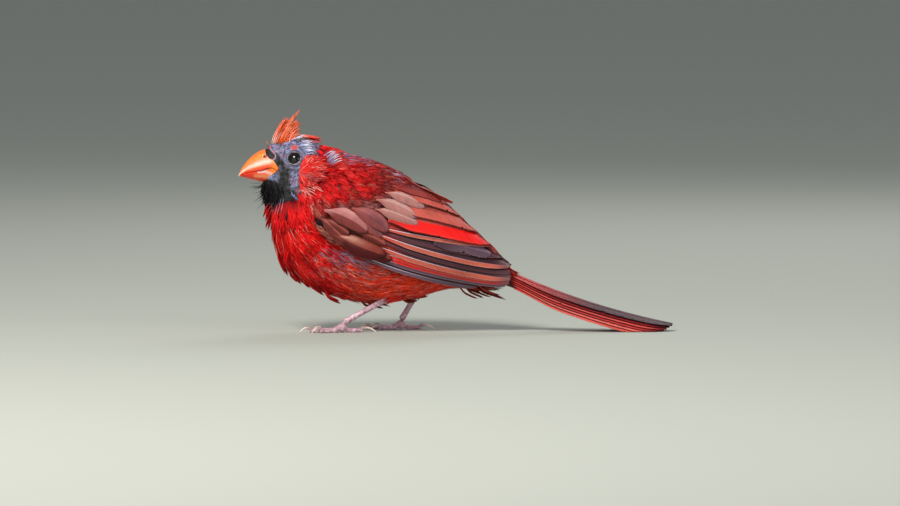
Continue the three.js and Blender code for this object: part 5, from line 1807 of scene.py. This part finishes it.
# Roots, tips, number, heights at root and tip, width, colours, and how far they stray
HEAD_QUILLS = [
    # the side of the crown
    ([(-35.0, 88.0), (-33.0, 86.2), (-31.2, 83.6)], [(-28.2, 88.2), (-27.0, 86.0), (-26.6, 83.8)],
     16, (0.1, 0.9), 0.42, (QUILL_BLUE, QUILL)),
    ([(-32.6, 89.4), (-29.6, 88.4)], [(-25.6, 89.4), (-23.6, 87.6)],
     10, (0.2, 1.1), 0.4, (QUILL, rgb("c8606a"))),
    # the nape: pale quills, then red feathers between them
    ([(-22.2, 82.6), (-20.6, 80.6), (-18.6, 78.0)], [(-18.0, 84.2), (-15.2, 82.8), (-13.0, 80.2)],
     12, (0.3, 1.3), 0.36, (QUILL_BLUE, QUILL), 0.35),
    ([(-23.4, 84.6), (-20.2, 82.0), (-17.0, 77.4)], [(-16.0, 84.6), (-12.6, 82.4), (-10.0, 77.4)],
     46, (0.0, 1.1), 0.4, (DEEP_RED, rgb("e03a34")), 0.8),
    # below the cheek
    ([(-38.2, 66.6), (-35.6, 64.0)], [(-36.6, 63.4), (-34.0, 61.2)],
     6, (0.1, 0.6), 0.26, (rgb("7a83b4"), QUILL_BLUE)),
    # the upper breast under the throat, and the pins at its edge
    ([(-48.6, 61.2), (-43.8, 61.2), (-37.0, 61.0), (-32.0, 63.0)],
     [(-49.0, 50.0), (-42.4, 47.0), (-34.4, 47.4), (-26.0, 51.0)],
     190, (-0.7, 0.6), 0.38, (rgb("90080e"), rgb("f01014")), 1.2, 0.0),
    ([(-46.4, 60.0), (-43.4, 61.0), (-41.0, 62.6)], [(-47.4, 55.2), (-44.6, 54.8), (-42.0, 56.0)],
     9, (0.4, 1.1), 0.22, (QUILL_BLUE, rgb("d88a94"))),
]
NECK_QUILLS = [
    # pale pink feathers, then red ones
    ([(-34.6, 67.4), (-31.4, 68.2), (-27.0, 68.8)], [(-30.0, 63.6), (-26.6, 64.4), (-21.0, 66.0)],
     26, (0.0, 1.0), 0.34, (rgb("d04a4a"), rgb("ee948c")), 0.9),
    ([(-34.6, 66.0), (-30.0, 67.0), (-24.0, 69.6), (-18.0, 73.0)],
     [(-31.0, 57.6), (-25.0, 59.6), (-17.0, 64.0), (-11.0, 69.0)],
     120, (-0.4, 1.0), 0.38, (rgb("90080e"), rgb("f41216")), 1.1),
]


def small_feathers():
    heap = Heap()
    rng = np.random.default_rng(23)
    for side in (LEFT, RIGHT):
        for row in HEAD_QUILLS:
            quills(heap, side, rng, *row)
        ear_coverts(heap, side, rng)
        for row in NECK_QUILLS:
            quills(heap, side, rng, *row)
    forehead_bristle(heap)
    heap.piece("head_feathers", plumage, "red_plumage")
    heap = Heap()
    thighs(heap, rng)
    heap.piece("thigh_feathers", plumage, "red_plumage")
    heap = Heap()
    bristles(heap, rng)
    heap.piece("throat_bristles", plumage, "red_plumage")


small_feathers()


# Legs, feet and claws

SHANK_RADII = [1.9, 1.45, 1.25, 1.6]
SHANK_ROWS, SHANK_COLUMNS = 110, 28
TOE_ROWS, TOE_COLUMNS = 70, 22
CLAW_ROWS, CLAW_COLUMNS = 30, 18
# The radii and the height of the ball of the foot
BALL_RADII = (2.3, 2.0, 2.1)
BALL_HEIGHT = 2.3
# The share of a foot's map for each toe, and for the ball of the foot
FOOT_STRIP = 0.2
TOES = [
    dict(name="hind", turn=math.pi, length=9.5, claw=7.0, joints=2),
    dict(name="inner", turn=0.42, length=11.0, claw=4.6, joints=3),
    dict(name="middle", turn=0, length=15.0, claw=5.2, joints=4),
    dict(name="outer", turn=-0.4, length=11.5, claw=4.6, joints=3),
]


def tube(line, radius_of, columns):
    """A round body along a line of points; radius_of(share, angle) gives its radius.

    Angle 0 is the upper or front side."""
    ahead = unit(np.gradient(line, axis=0))
    side = unit(np.cross([0, 0, 1.0], ahead))
    up = unit(np.cross(ahead, side))
    u = np.linspace(0, 1, len(line))[:, None]
    a = np.arange(columns)[None] / columns * TAU
    r = radius_of(u, a)[..., None]
    spread = np.cos(a)[..., None] * up[:, None] + np.sin(a)[..., None] * side[:, None]
    points, faces = loft(line[:, None] + r * spread)
    # nothing reaches below the floor
    points[:, 2] = np.maximum(points[:, 2], 0.02)
    return points, faces


def scuted(radius, count, step, u, a, front=1.1):
    """Overlapping scutes over the front of a limb, fine scales behind."""
    phase = (u * count) % 1
    ahead = smooth((np.cos(a) - math.cos(front)) / 0.25)
    plate_ = ahead * step * (phase**0.7 - 0.5 - 1.2 * smooth((phase - 0.9) / 0.1))
    scale = (1 - ahead) * step * 0.5 * np.sin(u * count * 2.6 * TAU) * np.sin(a * 9)
    return radius + plate_ + scale


def leg_colour(points, seed):
    return layered(rgb("cfa4b0"), [
        (rgb("a67c8c"), noise(points, 1.6, seed)),
        (rgb("ecd3dc"), smooth((noise(points, 0.8, seed + 1) - 0.5) / 0.3) * 0.6),
        (rgb("6d4a58"), smooth((noise(points, 0.5, seed + 2) - 0.68) / 0.15) * 0.6),
    ])


def toe_line(leg, toe, shares):
    """Points along the middle of a toe, and the direction in which it lies."""
    heading = leg["turn"] + leg["side"] * toe["turn"]
    ahead = np.array([-math.cos(heading), -math.sin(heading), 0])
    raised = np.maximum(1 - shares * 2.6, 0) ** 1.5
    start = np.array([leg["foot"][0], leg["foot"][1], 0.0])
    line = start + ahead * (toe["length"] * shares)[:, None]
    line[:, 2] = lerp(0.95, 3.0, raised)
    return line, ahead


def shank(name, leg):
    hip, foot = np.array(leg["hip"]), np.array(leg["foot"])
    line = hip + (foot - hip) * np.linspace(0, 1, SHANK_ROWS)[:, None]

    def radius_of(u, a):
        radius = np.interp(u, np.linspace(0, 1, len(SHANK_RADII)), SHANK_RADII)
        radius = radius * np.sqrt(np.maximum(1 - smooth((u - 0.9) / 0.1) ** 2, 0.03))
        return scuted(radius, 13, 0.14, u, a)

    points, faces = tube(line, radius_of, SHANK_COLUMNS)
    heap = Heap()
    bake = ring_map(SHANK_ROWS, SHANK_COLUMNS)
    heap.add(points, faces, leg_colour(points, 61), bake, period=(0, 1))
    heap.piece(f"leg_{name}_scutes", leg_finish, "leg_skin", (f"leg_{name}",))


def add_toe(heap, leg, toe, number):
    joints = toe["joints"]

    def radius_of(u, a):
        pad = 0.13 * np.cos(u * joints * TAU)
        radius = 1.15 * lerp(1.05, 0.82, u) * (1 + pad * smooth(0.6 - np.cos(a)))
        radius = radius + 0.35 * smooth((0.2 - u) / 0.2)
        radius = radius * (1 - 0.25 * smooth((u - 0.9) / 0.1))
        return scuted(radius, joints * 4, 0.11, u, a, 1.0)

    line, _ = toe_line(leg, toe, np.linspace(0, 1, TOE_ROWS))
    points, faces = tube(line, radius_of, TOE_COLUMNS)
    bake = ring_map(TOE_ROWS, TOE_COLUMNS, number * FOOT_STRIP, (number + 0.96) * FOOT_STRIP)
    heap.add(points, faces, leg_colour(points, 64), bake, period=(0, 0.96 * FOOT_STRIP))


def foot(name, leg):
    heap = Heap()
    for number, toe in enumerate(TOES):
        add_toe(heap, leg, toe, number)
    rings = mound((*leg["foot"][:2], BALL_HEIGHT), BALL_RADII, 20, 30)
    points, faces = loft(rings)
    bake = ring_map(*rings.shape[:2], 1 - FOOT_STRIP, 1.0)
    heap.add(points, faces, leg_colour(points, 67), bake, period=(0, FOOT_STRIP))
    heap.piece(f"foot_{name}_scutes", leg_finish, "leg_skin", (f"foot_{name}",))


def claw_radius(u, a):
    flat_under = 1 - 0.12 * (np.cos(a) < -0.8)
    return lerp(0.95, 0.22, u**0.8) * (1 - 0.22 * np.sin(a) ** 2) * flat_under


def claw(name, leg, toe):
    (start,), ahead = toe_line(leg, toe, np.array([1.0]))
    u = np.linspace(0, 1, CLAW_ROWS)
    line = start + ahead * (toe["claw"] * u - 0.4)[:, None]
    line[:, 2] = 1.25 + 1.15 * np.sin(math.pi * np.minimum(u * 0.8 + 0.1, 1)) - 1.45 * u**2.2
    points, faces = tube(line, claw_radius, CLAW_COLUMNS)
    reach = np.linalg.norm(points[:, :2] - start[:2], axis=-1) / toe["claw"]
    colour = mix(rgb("a88a86"), rgb("efe0d2"), smooth(reach * 1.3))
    label = f"claw_{toe['name']}_{name}"
    bake = corners(ring_map(CLAW_ROWS, CLAW_COLUMNS), faces, (0, 1))
    piece(label + "_horn", points, faces, claw_finish, colour, bake, (label,))


for name, leg in LEGS.items():
    shank(name, leg)
    foot(name, leg)
    for toe in TOES:
        claw(name, leg, toe)


# Floor, light and camera

PHOTO_MM_PER_PIXEL = 0.47
PHOTO_WIDTH = 900
PHOTO_CENTRE = (36.7, 0.0, 36.7)
CAMERA_DISTANCE = 4.0
CAMERA_ELEVATION = math.radians(3.5)
SENSOR = 36.0
FLOOR_HALF = 12.0
FLOOR_COLOUR = (0.46, 0.48, 0.42, 1)
WARM = (1.0, 0.97, 0.93)
COOL = (0.92, 0.96, 1.0)
# Name, place and size in metres, power and colour
LIGHTS = [
    ("key", (-0.5, -0.8, 1.1), 0.5, 18, WARM),
    ("fill", (0.9, -0.9, 0.5), 0.8, 2.5, COOL),
    ("low", (-0.5, -1.1, 0.15), 1.3, 3.5, WARM),
    ("rim", (0.3, 0.9, 0.8), 0.6, 3, (1, 1, 1)),
]
LIGHTS_AIM = (0, 0, 0.05)


def stage():
    floor_mesh = bpy.data.meshes.new("floor")
    size = FLOOR_HALF
    edge = [(-size, -size, 0), (size, -size, 0), (size, size, 0), (-size, size, 0)]
    floor_mesh.from_pydata(edge, [], [(0, 1, 2, 3)])
    floor = bpy.data.objects.new("floor", floor_mesh)
    bpy.context.scene.collection.objects.link(floor)
    m, _, _, shader = new_material("floor")
    shader.inputs["Base Color"].default_value = FLOOR_COLOUR
    shader.inputs["Roughness"].default_value = 0.9
    floor_mesh.materials.append(m)


def area_light(name, place, size, power, colour):
    data = bpy.data.lights.new(name, "AREA")
    data.shape = "DISK"
    data.size = size
    data.energy = power
    data.color = colour
    light = bpy.data.objects.new(name, data)
    bpy.context.scene.collection.objects.link(light)
    light.location = place
    aim = np.array(LIGHTS_AIM) - np.array(place)
    turn = math.atan2(aim[1], aim[0])
    fall = math.atan2(math.hypot(aim[0], aim[1]), -aim[2])
    light.rotation_euler = (fall, 0, turn - math.pi / 2)


def lights():
    for entry in LIGHTS:
        area_light(*entry)
    world = bpy.data.worlds.new("studio")
    bpy.context.scene.world = world
    world.use_nodes = True
    background = world.node_tree.nodes["Background"]
    background.inputs["Color"].default_value = (0.9, 0.95, 1.0, 1)
    background.inputs["Strength"].default_value = 0.3


def camera():
    data = bpy.data.cameras.new("camera")
    cam = bpy.data.objects.new("camera", data)
    bpy.context.scene.collection.objects.link(cam)
    bpy.context.scene.camera = cam
    seen = PHOTO_WIDTH * PHOTO_MM_PER_PIXEL * MM
    data.sensor_width = SENSOR
    data.lens = SENSOR * CAMERA_DISTANCE / seen
    data.clip_end = 100
    target = to_frame(PHOTO_CENTRE)
    cam.location = (
        target[0],
        target[1] - CAMERA_DISTANCE * math.cos(CAMERA_ELEVATION),
        target[2] + CAMERA_DISTANCE * math.sin(CAMERA_ELEVATION),
    )
    cam.rotation_euler = (math.pi / 2 - CAMERA_ELEVATION, 0, 0)


stage()
lights()
camera()
bpy.context.scene.view_settings.view_transform = "Standard"
bpy.context.scene.view_settings.look = "None"
